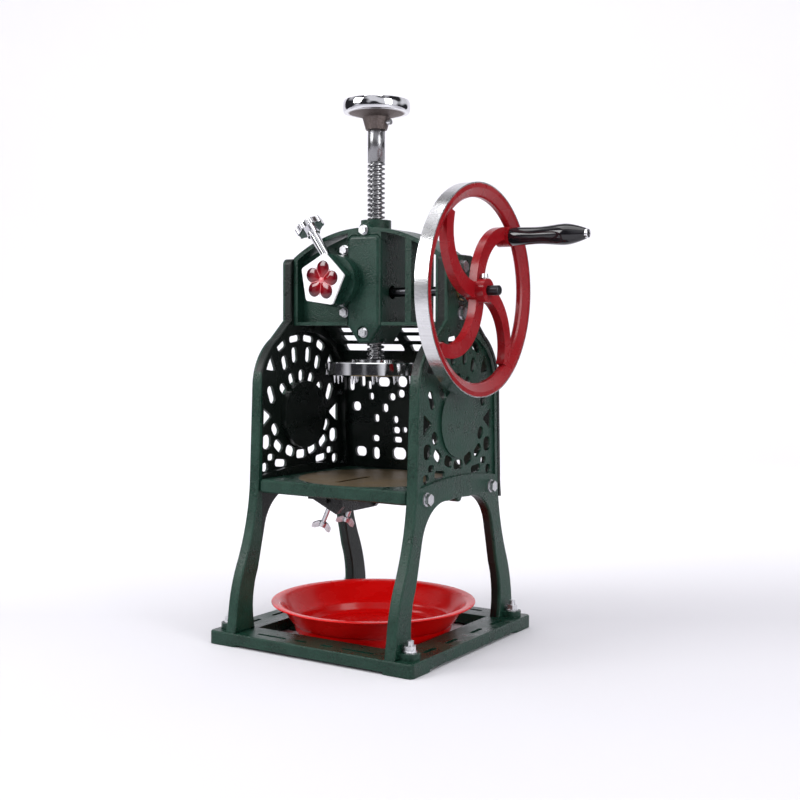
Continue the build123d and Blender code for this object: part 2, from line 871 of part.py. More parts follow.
def wing_bolt(y):
    """Wing bolt screwed up into the holder's slanted underside."""
    seat = (wing_bolt_x, y, wing_seat_z)
    hub_seat = beyond(seat, bolt_out, wing_bolt_drop)
    with BuildPart() as bolt:
        with BuildSketch(Plane(origin=beyond(seat, bolt_out, -11), z_dir=bolt_out)):
            Circle(wing_bolt_radius)
        extrude(amount=11 + wing_bolt_drop + 1)
        with BuildSketch(Plane(origin=hub_seat, z_dir=bolt_out)):
            Circle(5)
        extrude(amount=6)
        span = Vector(0.8 * tilt_cos, 0.6, -0.8 * tilt_sin)
        with BuildSketch(Plane(origin=hub_seat, x_dir=span, z_dir=span.cross(Vector(*bolt_out)))):
            for side in (-1, 1):
                with BuildLine():
                    Polyline((0, 0), (side * wing_span / 4, 0),
                             (side * wing_span / 2, wing_height / 2),
                             (side * wing_span / 2, wing_height),
                             (side * wing_span / 3, wing_height),
                             (0, wing_height / 2), close=True)
                make_face()
        extrude(amount=wing_thickness / 2, both=True)
    return bolt


save(wing_bolt(wing_y_places[0]), "front_wing_bolt")
save(wing_bolt(wing_y_places[1]), "rear_wing_bolt")

# ------------------------------------------------------------------ head casting
cavity_half = box_half - box_wall


def box_outline():
    """Outline of the gear box's front, narrowing to a vee below, in (x, z)."""
    with BuildSketch() as front_face:
        with BuildLine():
            Polyline((0, vee_bottom), (vee_half, vee_bottom), (box_half, head_bottom),
                     (box_half, cover_top), (0, cover_top))
            mirror(about=Plane.YZ)
        make_face()
        top_corners = front_face.vertices().group_by(Axis.Y)[-1].filter_by(
            lambda corner: abs(corner.X) > vee_half)
        fillet(top_corners, cover_corner)
    return front_face.sketch


def lug_outline():
    """The cover's two screw lugs, in (x, z)."""
    with BuildSketch() as lugs:
        with Locations((0, upper_lug_height), (0, lower_lug_height)):
            Circle(lug_radius)
    return lugs.sketch


def rear_plane(y):
    """Plane facing the front at depth y: drawn in (x, z), extruded towards -Y."""
    return Plane(origin=(0, y, 0), x_dir=(1, 0, 0), z_dir=(0, -1, 0))


ear_inner = frame_inner - ear_thickness
feed_ear_places = [(feed_ear_x, feed_height + side * feed_ear_offset) for side in (-1, 1)]
with BuildPart() as head_housing:
    with BuildSketch(rear_plane(head_half_depth)):
        with BuildLine():
            ThreePointArc((-frame_inner, arch_end_height), (0, arch_height),
                          (frame_inner, arch_end_height))
            Polyline((frame_inner, arch_end_height), (frame_inner, head_bottom),
                     (box_half, head_bottom), (vee_half, vee_bottom), (-vee_half, vee_bottom),
                     (-box_half, head_bottom), (-frame_inner, head_bottom),
                     (-frame_inner, arch_end_height))
        make_face()
    extrude(amount=2 * head_half_depth)
    with BuildSketch(rear_plane(head_half_depth)) as bays:
        with BuildLine():
            ThreePointArc((-ear_inner, arch_end_height - arch_thickness + 2),
                          (0, arch_height - arch_thickness),
                          (ear_inner, arch_end_height - arch_thickness + 2))
            Polyline((ear_inner, arch_end_height - arch_thickness + 2),
                     (ear_inner, head_bottom + head_rib), (-ear_inner, head_bottom + head_rib),
                     (-ear_inner, arch_end_height - arch_thickness + 2))
        make_face()
        Rectangle(2 * box_half, 3 * neck_top, mode=Mode.SUBTRACT)
        with Locations(((bearing_wall_inner + bearing_wall_outer) / 2, crank_height)):
            Rectangle(bearing_wall_outer - bearing_wall_inner, neck_top, mode=Mode.SUBTRACT)
    extrude(amount=2 * head_half_depth, mode=Mode.SUBTRACT)
    with BuildSketch(rear_plane(-web_front + web_thickness)) as web:
        with BuildLine():
            Polyline((-ear_inner - 1, arch_end_height - 3), (-web_bend, arch_end_height + web_rise),
                     (1 - box_half, arch_height - 6), (1 - box_half, head_bottom + 1),
                     (-ear_inner - 1, head_bottom + 1), close=True)
        make_face()
    extrude(amount=web_thickness)
    with BuildSketch(rear_plane(box_back)):
        with BuildLine():
            Polyline((-box_half, head_bottom), (box_half, head_bottom), (box_half, cover_top),
                     (-box_half, cover_top), close=True)
        make_face()
    extrude(amount=box_back - head_half_depth + 1)
    with BuildSketch(rear_plane(-web_front)):
        add(box_outline())
        add(lug_outline())
        offset(amount=seat_gap)
    extrude(amount=head_half_depth, mode=Mode.SUBTRACT)
    with BuildSketch(rear_plane(box_back - box_wall)):
        with BuildLine():
            Polyline((-cavity_half, floor_height), (cavity_half, floor_height),
                     (cavity_half, cavity_top), (-cavity_half, cavity_top), close=True)
        make_face()
    extrude(amount=box_back + head_half_depth, mode=Mode.SUBTRACT)
    with BuildSketch(Plane.XY.offset(lower_boss_bottom - 1)):
        Circle(lower_boss_radius)
    extrude(amount=lower_boss_top - lower_boss_bottom + 1)
    with BuildSketch(Plane.XY.offset(nose_bottom)):
        Circle(nose_radius)
    extrude(amount=lower_boss_bottom - nose_bottom)
    with BuildSketch(Plane.XY.offset(cover_top)):
        Circle(top_boss_radius)
    extrude(amount=top_boss_height - cover_top)
    shelf_depth = box_back - box_wall / 2 + web_front
    with BuildSketch(Plane.XY.offset(shelf_height)):
        with Locations((0, shelf_depth / 2 - web_front)):
            Rectangle(2 * cavity_half + 1, shelf_depth)
    extrude(amount=shelf_thickness)
    bearing_plane = Plane(origin=(bearing_wall_inner - 3, 0, crank_height), x_dir=back, z_dir=right)
    with BuildSketch(bearing_plane):
        Circle(bearing_boss_radius)
    extrude(amount=bearing_wall_outer - bearing_wall_inner + 6)
    with BuildSketch(Plane.XY.offset(lower_boss_bottom)):
        Circle(bush_radius + screw_gap / 2)
    extrude(amount=lower_boss_top - lower_boss_bottom, mode=Mode.SUBTRACT)
    with BuildSketch(Plane.XY.offset(vee_bottom)):
        Circle(thread_radius + spindle_gap)
    extrude(amount=top_boss_height - vee_bottom, mode=Mode.SUBTRACT)
    with BuildSketch(Plane(origin=(0, 0, crank_height), x_dir=(0, 1, 0), z_dir=right)):
        Circle(shaft_bush_radius + screw_gap / 2)
    extrude(amount=frame_inner, mode=Mode.SUBTRACT)
    for side in (-1, 1):
        ear_face = Plane(origin=(side * frame_inner, 0, 0), x_dir=(0, 1, 0), z_dir=right)
        with BuildSketch(ear_face):
            with Locations(*neck_bolt_places):
                Circle(m8["shank"] + screw_gap)
        extrude(amount=-side * ear_thickness, mode=Mode.SUBTRACT)
    with BuildSketch(rear_plane(-web_front)):
        with Locations((0, lower_lug_height), (0, upper_lug_height)):
            Circle(m6["shank"] + screw_gap)
    extrude(amount=nose_radius, both=True, mode=Mode.SUBTRACT)
    with BuildSketch(rear_plane(-web_front)):
        with Locations(*feed_ear_places):
            Circle(m6["shank"] + screw_gap)
    extrude(amount=-web_thickness - 1, mode=Mode.SUBTRACT)
save(head_housing, "head_housing")

# ------------------------------------------------------------------ gear cover
with BuildPart() as gear_cover:
    with BuildSketch(rear_plane(-web_front)):
        add(box_outline())
    extrude(amount=cover_front - web_front)
    fillet(gear_cover.faces().sort_by(Axis.Y)[0].edges(), cover_round)
    with BuildSketch(rear_plane(-web_front)):
        add(lug_outline())
    extrude(amount=lug_front - web_front)
    with BuildSketch(rear_plane(-lug_front)):
        add(lug_outline())
    extrude(amount=cover_front - lug_front + 1, mode=Mode.SUBTRACT)
    with BuildSketch(rear_plane(-web_front)):
        with Locations((0, (floor_height + cavity_top) / 2)):
            RectangleRounded(2 * cavity_half - 3, cavity_top - floor_height, 6)
    extrude(amount=cover_front - web_front - cover_wall, mode=Mode.SUBTRACT)
    boss_spans = (
        (lower_boss_radius, lower_boss_bottom - 1, lower_boss_top),
        (top_boss_radius, cover_top, top_boss_height),
    )
    for radius, low, high in boss_spans:
        with BuildSketch(Plane.XY.offset(low - seat_gap)):
            Circle(radius + seat_gap)
        extrude(amount=high - low + 2 * seat_gap, mode=Mode.SUBTRACT)
    with BuildSketch(rear_plane(-web_front)):
        with Locations((0, lower_lug_height), (0, upper_lug_height)):
            Circle(m6["shank"] + screw_gap)
    extrude(amount=cover_front, mode=Mode.SUBTRACT)
save(gear_cover, "gear_cover")

cover_screw_places = [(0, lower_lug_height), (0, upper_lug_height)]


def front_screws(places, face_y, grip_length):
    """Hexagon screws facing the front at (x, z) places, seated over their washers."""
    with BuildPart() as screws:
        for x, z in places:
            seat = (x, -face_y - m6["washer_thickness"], z)
            add(hex_bolt(seat, front, m6, grip_length + m6["washer_thickness"]))
    return screws


def front_washers(places, face_y):
    """Washers facing the front at (x, z) places."""
    with BuildPart() as washers:
        for x, z in places:
            add(washer((x, -face_y, z), front, m6))
    return washers


cover_screw_grip = lug_front - thread_radius - 1.5
save(front_screws(cover_screw_places, lug_front, cover_screw_grip), "cover_screws")
save(front_washers(cover_screw_places, lug_front), "cover_washers")

# ------------------------------------------------------------------ feed housing and its badge
ear_front = web_front + feed_ear_thickness
pentagon_points = [
    (pentagon_radius * cos(radians(pentagon_turn + 72 * k)),
     pentagon_radius * sin(radians(pentagon_turn + 72 * k)))
    for k in range(5)
]
plunger_x = cos(radians(plunger_angle))
plunger_z = sin(radians(plunger_angle))
plunger_axis = (plunger_x, 0, plunger_z)
plunger_origin = (feed_x + plunger_x_offset, -plunger_depth, feed_height)


def pentagon():
    """Five-sided outline of the feed housing, in (x, z)."""
    with BuildSketch() as face:
        with Locations((feed_x, feed_height)):
            with BuildLine():
                Polyline(*[(feed_x + x, feed_height + z) for x, z in pentagon_points], close=True)
            make_face()
        fillet(face.vertices(), pentagon_corner)
    return face.sketch


with BuildPart() as cover_envelope:
    with BuildSketch(rear_plane(-web_front + 1)):
        with Locations((0, feed_height)):
            Rectangle(2 * (box_half + 2 * seat_gap), 4 * pentagon_radius)
    extrude(amount=cover_front - web_front + 1 + seat_gap)

with BuildPart() as feed_housing:
    with BuildSketch(rear_plane(-feed_drum_front)):
        add(pentagon())
    extrude(amount=feed_front - feed_drum_front)
    with BuildSketch(rear_plane(-web_front)):
        with Locations((feed_drum_x, feed_height)):
            Circle(feed_drum_radius)
    extrude(amount=feed_drum_front - web_front)
    with BuildSketch(rear_plane(-web_front)):
        with Locations(*feed_ear_places):
            Circle(feed_ear_radius)
        with Locations((feed_ear_x, feed_height)):
            Rectangle(1.6 * feed_ear_radius, 2 * feed_ear_offset)
    extrude(amount=feed_ear_thickness)
    add(cover_envelope.part, mode=Mode.SUBTRACT)
    with BuildSketch(Plane(origin=plunger_origin, z_dir=plunger_axis)):
        Circle(plunger_radius + running_gap)
    extrude(amount=2 * pentagon_radius, mode=Mode.SUBTRACT)
    with BuildSketch(rear_plane(-web_front)):
        with Locations(*feed_ear_places):
            Circle(m6["shank"] + screw_gap)
    extrude(amount=feed_ear_thickness, mode=Mode.SUBTRACT)
save(feed_housing, "feed_housing")
save(front_screws(feed_ear_places, ear_front, feed_ear_thickness + web_thickness), "feed_screws")
save(front_washers(feed_ear_places, ear_front), "feed_washers")

with BuildPart() as badge_plate:
    with BuildSketch(rear_plane(-feed_front)):
        add(pentagon())
    extrude(amount=badge_thickness)
save(badge_plate, "badge_plate")

with BuildPart() as blossom_petals:
    for k in range(5):
        turn = radians(pentagon_turn + 72 * k)
        petal_x = feed_x + petal_ring_radius * cos(turn)
        petal_z = feed_height + petal_ring_radius * sin(turn)
        with BuildSketch(rear_plane(-feed_front - badge_thickness)):
            with Locations((petal_x, petal_z)):
                Circle(petal_radius)
        extrude(amount=petal_thickness)
    fillet(blossom_petals.faces().sort_by(Axis.Y)[:5].edges(), petal_thickness / 2)
save(blossom_petals, "blossom_petals")

with BuildPart() as feed_knob:
    knob_plane = Plane(origin=beyond(plunger_origin, plunger_axis, knob_distance),
                       x_dir=(0, 1, 0), z_dir=plunger_axis)
    with BuildSketch(knob_plane):
        Circle(knob_radius - 2)
        with PolarLocations(knob_radius - 4, knob_lobes):
            Circle(4)
    extrude(amount=knob_thickness / 2, both=True)
    fillet(feed_knob.edges().filter_by(lambda edge: edge.length < 60), 1.2)
save(feed_knob, "feed_knob")

with BuildPart() as feed_plunger:
    start = beyond(plunger_origin, plunger_axis, plunger_inner)
    rod_length = knob_distance - knob_thickness / 2 - plunger_inner
    with BuildSketch(Plane(origin=start, z_dir=plunger_axis)):
        Circle(plunger_radius)
    extrude(amount=rod_length)
    collar_start = beyond(start, plunger_axis, rod_length - 8)
    with BuildSketch(Plane(origin=collar_start, z_dir=plunger_axis)):
        Circle(plunger_neck_radius)
    extrude(amount=8)
save(feed_plunger, "feed_plunger")

# ------------------------------------------------------------------ bevel gears
pitch_dir = Vector(gear_pitch_radius, 0, -pinion_pitch_radius).normalized()
apex = Vector(0, 0, crank_height)
gear_tooth_dir = Vector(pinion_pitch_radius, 0, gear_pitch_radius).normalized()
pinion_tooth_dir = gear_tooth_dir * -1
tooth_half = pi * tooth_module / 2 * tooth_width_share


def tooth(outward):
    """One straight bevel tooth at the meshing line; outward points from root to tip."""
    with BuildPart() as shape:
        for share in (face_start, 1):
            plane = Plane(origin=apex + pitch_dir * (cone_distance * share),
                          x_dir=outward.cross(pitch_dir), z_dir=pitch_dir)
            root_depth = share * (tooth_dedendum + 0.3)
            root_half = share * (tooth_half + tooth_flank_slope * tooth_dedendum)
            tip_half = share * (tooth_half - tooth_flank_slope * tooth_addendum)
            tip_height = share * tooth_addendum
            with BuildSketch(plane):
                with BuildLine():
                    Polyline((-root_half, -root_depth), (root_half, -root_depth),
                             (tip_half, tip_height), (-tip_half, tip_height), close=True)
                make_face()
        loft(ruled=True)
    return shape.part


def root_point(share, outward):
    """Point of the root cone at a share of the cone distance."""
    return apex + pitch_dir * (cone_distance * share) - outward * (tooth_dedendum * share)


gear_root_outer = root_point(1 + blank_margin, gear_tooth_dir)
gear_root_inner = root_point(face_start - blank_margin, gear_tooth_dir)
gear_tooth = tooth(gear_tooth_dir)
key_slot = keyway_half_width * 2

with BuildPart() as bevel_gear:
    with BuildSketch(Plane.XZ):
        with BuildLine():
            Polyline(
                (thread_bore, gear_root_inner.Z),
                (gear_root_inner.X, gear_root_inner.Z),
                (gear_root_outer.X, gear_root_outer.Z),
                (gear_back_radius, gear_back_height + 2),
                (gear_back_radius - 3, gear_back_height),
                (sleeve_radius, gear_back_height),
                (sleeve_radius, sleeve_bottom),
                (thread_bore, sleeve_bottom),
                close=True,
            )
        make_face()
    revolve(axis=Axis.Z)
    for k in range(gear_teeth):
        add(Rot(0, 0, (k + 0.5) * 360 / gear_teeth) * gear_tooth)
    with BuildSketch(Plane.XY.offset(sleeve_bottom)):
        with Locations((0, -thread_radius)):
            Rectangle(key_slot, 5)
    extrude(amount=gear_back_height - sleeve_bottom, mode=Mode.SUBTRACT)
save(bevel_gear, "bevel_gear")

with BuildPart() as drive_key:
    with BuildSketch(Plane.XY.offset(sleeve_bottom + seat_gap)):
        key_inner = keyway_floor + key_gap
        key_outer = thread_radius + 2.4
        with Locations((0, -(key_inner + key_outer) / 2)):
            Rectangle(key_slot - 2 * key_gap, key_outer - key_inner)
    extrude(amount=gear_back_height - sleeve_bottom - 2 * seat_gap)
save(drive_key, "drive_key")

pinion_root_outer = root_point(1 + blank_margin, pinion_tooth_dir)
pinion_root_inner = root_point(face_start - blank_margin, pinion_tooth_dir)
pinion_tooth = tooth(pinion_tooth_dir)
shaft_line = Axis((0, 0, crank_height), right)

with BuildPart() as bevel_pinion:
    with BuildSketch(rear_plane(0)):
        with BuildLine():
            Polyline(
                (pinion_root_inner.X, crank_height - shaft_nose_radius - screw_gap / 2),
                (pinion_root_inner.X, pinion_root_inner.Z),
                (pinion_root_outer.X, pinion_root_outer.Z),
                (pinion_hub_end, pinion_root_outer.Z + 0.5),
                (pinion_hub_end, crank_height - shaft_nose_radius - screw_gap / 2),
                close=True,
            )
        make_face()
    revolve(axis=shaft_line)
    for k in range(pinion_teeth):
        add(pinion_tooth.rotate(shaft_line, k * 360 / pinion_teeth))
save(bevel_pinion, "bevel_pinion")

with BuildPart() as gear_bush:
    add(ring((0, 0, lower_boss_bottom), up, bush_radius, sleeve_radius + running_gap,
             lower_boss_top - lower_boss_bottom))
save(gear_bush, "gear_bush")
with BuildPart() as thrust_washer:
    add(ring((0, 0, lower_boss_top), up, gear_back_radius, sleeve_radius + 2 * seat_gap,
             thrust_thickness))
save(thrust_washer, "thrust_washer")
with BuildPart() as feed_nut:
    add(ring((0, 0, nut_bottom), up, 19, thread_bore, nut_height))
    fillet(feed_nut.edges().group_by(Axis.Z)[-1].sort_by(SortBy.RADIUS)[-1], 2)
save(feed_nut, "feed_nut")

# ------------------------------------------------------------------ crank shaft, bushes, collar
with BuildPart() as crank_shaft:
    with BuildSketch(Plane(origin=(shaft_inner_end, 0, crank_height), z_dir=right)):
        Circle(shaft_radius)
    extrude(amount=shaft_outer_end - shaft_inner_end)
    with BuildSketch(Plane(origin=(shaft_inner_end, 0, crank_height), z_dir=right)):
        Circle(shaft_radius + 1)
        Circle(shaft_nose_radius, mode=Mode.SUBTRACT)
    extrude(amount=pinion_hub_end - shaft_inner_end, mode=Mode.SUBTRACT)
    chamfer(crank_shaft.edges().group_by(Axis.X)[-1], 1)
save(crank_shaft, "crank_shaft")

with BuildPart() as crank_bushes:
    bush_bore = shaft_radius + running_gap
    add(ring((bearing_wall_inner, 0, crank_height), right, shaft_bush_radius, bush_bore,
             bearing_wall_outer - bearing_wall_inner))
    add(ring((ear_inner, 0, crank_height), right, shaft_bush_radius, bush_bore,
             ear_thickness + frame_thickness))
    add(ring((frame_outer, 0, crank_height), right, bush_flange_radius, bush_bore, bush_flange))
save(crank_bushes, "crank_bushes")

with BuildPart() as shaft_collar:
    collar_start = frame_outer + bush_flange + float_gap
    add(ring((collar_start, 0, crank_height), right, collar_radius, shaft_radius + screw_gap / 2,
             rim_inner_face - collar_start))
save(shaft_collar, "shaft_collar")

# ------------------------------------------------------------------ flywheel
rim_middle = (rim_inner_face + rim_outer_face) / 2
spoke_centre = (
    spoke_arc_radius * cos(radians(spoke_heading - 90)),
    spoke_arc_radius * sin(radians(spoke_heading - 90)),
)
spoke_sweep = 2 * degrees(asin((rim_bore + 3) / 2 / spoke_arc_radius))


def spoke_edge(sweep_share, half_width):
    """Point beside the spoke's middle arc, in (y, z) from the wheel's centre."""
    turn = radians(spoke_heading + 90 - sweep_share * spoke_sweep)
    radius = spoke_arc_radius + half_width
    return (spoke_centre[0] + radius * cos(turn), spoke_centre[1] + radius * sin(turn))


mean_half = (spoke_hub_width + spoke_rim_width) / 4
handle_y = handle_radius * cos(radians(handle_angle))
handle_z = handle_radius * sin(radians(handle_angle))
wheel_back = Plane(origin=(rim_inner_face, 0, crank_height), x_dir=(0, 1, 0), z_dir=right)

with BuildPart() as flywheel:
    with BuildSketch(rear_plane(0)):
        with BuildLine():
            bore_low = rim_middle - rim_inner_width / 2
            bore_high = rim_middle + rim_inner_width / 2
            Polyline(
                (rim_inner_face, crank_height + wheel_radius - rim_band),
                (rim_inner_face, crank_height + wheel_radius),
                (rim_outer_face, crank_height + wheel_radius),
                (rim_outer_face, crank_height + wheel_radius - rim_band),
                (bore_high, crank_height + rim_bore + 2),
                (bore_high - 2, crank_height + rim_bore),
                (bore_low + 2, crank_height + rim_bore),
                (bore_low, crank_height + rim_bore + 2),
                close=True,
            )
        make_face()
    revolve(axis=shaft_line)
    with BuildSketch(wheel_back.offset((rim_outer_face - rim_inner_face - spoke_thickness) / 2)):
        for k in range(spoke_count):
            with BuildSketch(mode=Mode.PRIVATE) as spoke:
                with BuildLine():
                    ThreePointArc(spoke_edge(0, spoke_hub_width / 2), spoke_edge(0.5, mean_half),
                                  spoke_edge(1, spoke_rim_width / 2))
                    Line(spoke_edge(1, spoke_rim_width / 2), spoke_edge(1, -spoke_rim_width / 2))
                    ThreePointArc(spoke_edge(1, -spoke_rim_width / 2), spoke_edge(0.5, -mean_half),
                                  spoke_edge(0, -spoke_hub_width / 2))
                    Line(spoke_edge(0, -spoke_hub_width / 2), spoke_edge(0, spoke_hub_width / 2))
                make_face()
            add(spoke.sketch, rotation=k * 360 / spoke_count)
    extrude(amount=spoke_thickness)
    with BuildSketch(wheel_back):
        Circle(hub_radius)
    extrude(amount=hub_outer_face - rim_inner_face)
    with BuildSketch(wheel_back):
        with Locations((handle_y, handle_z)):
            Circle(handle_boss_radius)
    extrude(amount=rim_outer_face - rim_inner_face)
    with BuildSketch(wheel_back):
        Circle(shaft_radius + screw_gap / 2)
        with Locations((handle_y, handle_z)):
            Circle(stud_radius + screw_gap / 2)
    extrude(amount=hub_outer_face - rim_inner_face, mode=Mode.SUBTRACT)
    set_screw_x = hub_outer_face - m6["washer"] + 1
    with BuildSketch(Plane(origin=(set_screw_x, 0, crank_height + shaft_radius), z_dir=up)):
        Circle(m6["shank"] + screw_gap)
    extrude(amount=hub_radius, mode=Mode.SUBTRACT)
save(flywheel, "flywheel")

with BuildPart() as flywheel_set_screw:
    head_seat = (set_screw_x, 0, crank_height + hub_radius + 1)
    add(round_screw(head_seat, up, 5, 5, m6["shank"], hub_radius + 0.7 - shaft_radius))
save(flywheel_set_screw, "flywheel_set_screw")

# ------------------------------------------------------------------ handle
handle_place = (0, handle_y, crank_height + handle_z)
with BuildPart() as handle_stud:
    stud_start = (rim_inner_face - m8["washer_thickness"] - m8["nut"] - 3,) + handle_place[1:]
    with BuildSketch(Plane(origin=stud_start, z_dir=right)):
        Circle(stud_radius)
    extrude(amount=stud_end - stud_start[0])
save(handle_stud, "handle_stud")

with BuildPart() as handle_back_nut:
    nut_face = (rim_inner_face,) + handle_place[1:]
    add(hex_nut(nut_face, left, m8))
save(handle_back_nut, "handle_back_nut")

with BuildPart() as handle_grip:
    with BuildSketch(rear_plane(handle_place[1])):
        with BuildLine():
            outline_points = [(grip_start + x, handle_place[2] + r) for x, r in grip_profile]
            Spline(*outline_points)
            bore_level = handle_place[2] + stud_radius + running_gap
            grip_end = outline_points[-1][0]
            Polyline(outline_points[-1], (grip_end, bore_level), (grip_start, bore_level),
                     outline_points[0])
        make_face()
    revolve(axis=Axis(handle_place, right))
save(handle_grip, "handle_grip")

with BuildPart() as handle_end_nut:
    with BuildSketch(Plane(origin=(grip_end + seat_gap, *handle_place[1:]), z_dir=right)):
        Circle(end_nut_radius)
        Circle(stud_radius + screw_gap / 2, mode=Mode.SUBTRACT)
    extrude(amount=stud_end - grip_end)
    fillet(handle_end_nut.edges().group_by(Axis.X)[-1].sort_by(SortBy.RADIUS)[-1], 1)
save(handle_end_nut, "handle_end_nut")

# ------------------------------------------------------------------ spindle
thread_bottom = ice_hub_top + 2
groove_count = int((thread_end - thread_bottom) / thread_pitch)
crest = thread_pitch * 0.36
flank = thread_pitch * 0.14
spindle_outline = [(0, spindle_bottom), (thread_root, spindle_bottom), (thread_root, thread_bottom)]
for k in range(groove_count):
    turn_start = thread_end - (groove_count - k) * thread_pitch
    spindle_outline += [
        (thread_root, turn_start),
        (thread_radius, turn_start + flank),
        (thread_radius, turn_start + flank + crest),
        (thread_root, turn_start + 2 * flank + crest),
    ]
wheel_bore_top = handwheel_rim_bottom
spindle_outline += [(thread_root, thread_end), (plain_radius, thread_end + 1),
                    (plain_radius, wheel_bore_top - 6), (0, wheel_bore_top - 6)]

with BuildPart() as spindle_screw:
    with BuildSketch(Plane.XZ):
        with BuildLine():
            Polyline(*spindle_outline, close=True)
        make_face()
    revolve(axis=Axis.Z)
    with BuildSketch(Plane.XY.offset(thread_bottom)):
        with Locations((0, -keyway_floor - thread_radius / 2)):
            Rectangle(key_slot, thread_radius)
    extrude(amount=thread_end - thread_bottom, mode=Mode.SUBTRACT)
save(spindle_screw, "spindle_screw")

with BuildPart() as handwheel:
    with BuildSketch(Plane.XZ):
        with BuildLine():
            bore = plain_radius + screw_gap / 2
            Polyline(
                (bore, hub_bottom),
                (hub_bottom_radius, hub_bottom),
                (hub_top_radius, hub_top - 3),
                (handwheel_radius - 6, handwheel_rim_bottom),
                (handwheel_radius - 1.5, handwheel_rim_bottom),
            )
            ThreePointArc((handwheel_radius - 1.5, handwheel_rim_bottom),
                          (handwheel_radius, (handwheel_rim_bottom + handwheel_top) / 2),
                          (handwheel_radius - 1.5, handwheel_top))
            Polyline(
                (handwheel_radius - 1.5, handwheel_top),
                (handwheel_radius - 8, handwheel_top),
                (handwheel_radius - 12, handwheel_rim_bottom + 4),
                (hub_top_radius, hub_top + 3),
                (hub_top_radius - 2, hub_top + 8),
                (0, hub_top + 8),
                (0, wheel_bore_top - 6),
                (bore, wheel_bore_top - 6),
                (bore, hub_bottom),
            )
        make_face()
    revolve(axis=Axis.Z)
    with BuildSketch(Plane(origin=(plain_radius, 0, handwheel_screw_height), z_dir=right)):
        Circle(m6["shank"] + screw_gap)
    extrude(amount=hub_top_radius, mode=Mode.SUBTRACT)
save(handwheel, "handwheel")

with BuildPart() as handwheel_set_screw:
    screw_seat = (hub_top_radius, 0, handwheel_screw_height)
    add(round_screw(screw_seat, right, 4.5, 4, m6["shank"], hub_top_radius - plain_radius - 0.2))
save(handwheel_set_screw, "handwheel_set_screw")

# ------------------------------------------------------------------ ice disc and spikes
with BuildPart() as ice_disc:
    with BuildSketch(Plane.XZ):
        with BuildLine():
            bore = thread_root + screw_gap / 2
            Polyline(
                (0, ice_disc_bottom),
                (ice_disc_radius - 1, ice_disc_bottom),
                (ice_disc_radius, ice_disc_bottom + 1),
                (ice_disc_radius, ice_disc_top - 1),
                (ice_disc_radius - 1, ice_disc_top),
                (ice_hub_radius, ice_disc_top),
                (ice_hub_radius, ice_hub_top),
                (bore, ice_hub_top),
                (bore, spindle_bottom - seat_gap),
                (0, spindle_bottom - seat_gap),
                close=True,
            )
        make_face()
    revolve(axis=Axis.Z)
save(ice_disc, "ice_disc")

with BuildPart() as ice_spikes:
    for ring_radius, count in spike_rings:
        with BuildSketch(Plane.XY.offset(ice_disc_bottom)):
            with PolarLocations(ring_radius, count):
                Circle(spike_radius)
        extrude(amount=-spike_length, taper=spike_taper)
save(ice_spikes, "ice_spikes")

# ------------------------------------------------------------------ drip tray
tray_floor_top = rib_top + tray_wall
step_height = rib_top + tray_step_height
ledge_radius = tray_step_radius + tray_ledge
rim_under = tray_rim_height - tray_wall
with BuildPart() as drip_tray:
    with BuildSketch(Plane.XZ):
        with BuildLine():
            Polyline(
                (0, rib_top),
                (tray_bottom_radius, rib_top),
                (tray_foot_radius, rib_top + tray_foot_height),
                (tray_step_radius, step_height),
                (ledge_radius, step_height + 1),
                (tray_mouth_radius, rim_under - 1),
                (tray_rim_radius, rim_under),
                (tray_rim_radius, tray_rim_height),
                (tray_mouth_radius - tray_wall, tray_rim_height - 1),
                (ledge_radius - tray_wall, step_height + tray_wall),
                (tray_step_radius - tray_wall, step_height + tray_wall - 1),
                (tray_foot_radius - tray_wall, tray_floor_top + tray_foot_height),
                (tray_bottom_radius - tray_wall, tray_floor_top),
                (0, tray_floor_top),
                close=True,
            )
        make_face()
    revolve(axis=Axis.Z)
drip_tray.part.position += (0, tray_y, 0)
save(drip_tray, "drip_tray")
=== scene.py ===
import bpy
from math import cos, pi, radians, sin
from mathutils import Matrix, Vector


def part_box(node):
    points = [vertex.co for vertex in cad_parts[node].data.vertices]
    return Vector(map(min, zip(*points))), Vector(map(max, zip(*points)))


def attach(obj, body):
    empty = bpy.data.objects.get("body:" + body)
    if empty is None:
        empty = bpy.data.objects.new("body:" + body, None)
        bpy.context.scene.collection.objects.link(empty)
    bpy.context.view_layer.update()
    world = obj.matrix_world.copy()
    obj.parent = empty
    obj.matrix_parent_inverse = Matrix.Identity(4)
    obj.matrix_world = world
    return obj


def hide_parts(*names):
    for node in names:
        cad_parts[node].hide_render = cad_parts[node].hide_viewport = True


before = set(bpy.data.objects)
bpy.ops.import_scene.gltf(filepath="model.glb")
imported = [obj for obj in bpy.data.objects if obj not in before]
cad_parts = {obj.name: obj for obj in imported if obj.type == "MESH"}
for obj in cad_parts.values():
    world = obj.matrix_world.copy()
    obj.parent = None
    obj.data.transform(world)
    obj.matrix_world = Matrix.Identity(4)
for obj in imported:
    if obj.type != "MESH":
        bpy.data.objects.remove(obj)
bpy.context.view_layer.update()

# ------------------------------------------------------------------ places read from the frame
LOW_SPINDLE, HIGH_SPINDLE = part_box("spindle_screw")
LOW_TRAY, HIGH_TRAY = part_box("drip_tray")
LOW_BADGE, HIGH_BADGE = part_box("badge_plate")
LOW_PETALS, HIGH_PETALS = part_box("blossom_petals")
LOW_WHEEL, HIGH_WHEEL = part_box("flywheel")
LOW_HANDWHEEL, HIGH_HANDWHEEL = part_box("handwheel")
LOW_GRIP, HIGH_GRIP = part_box("handle_grip")
CRANK_Z = (LOW_WHEEL.z + HIGH_WHEEL.z) / 2
WHEEL_RADIUS = (HIGH_WHEEL.z - LOW_WHEEL.z) / 2

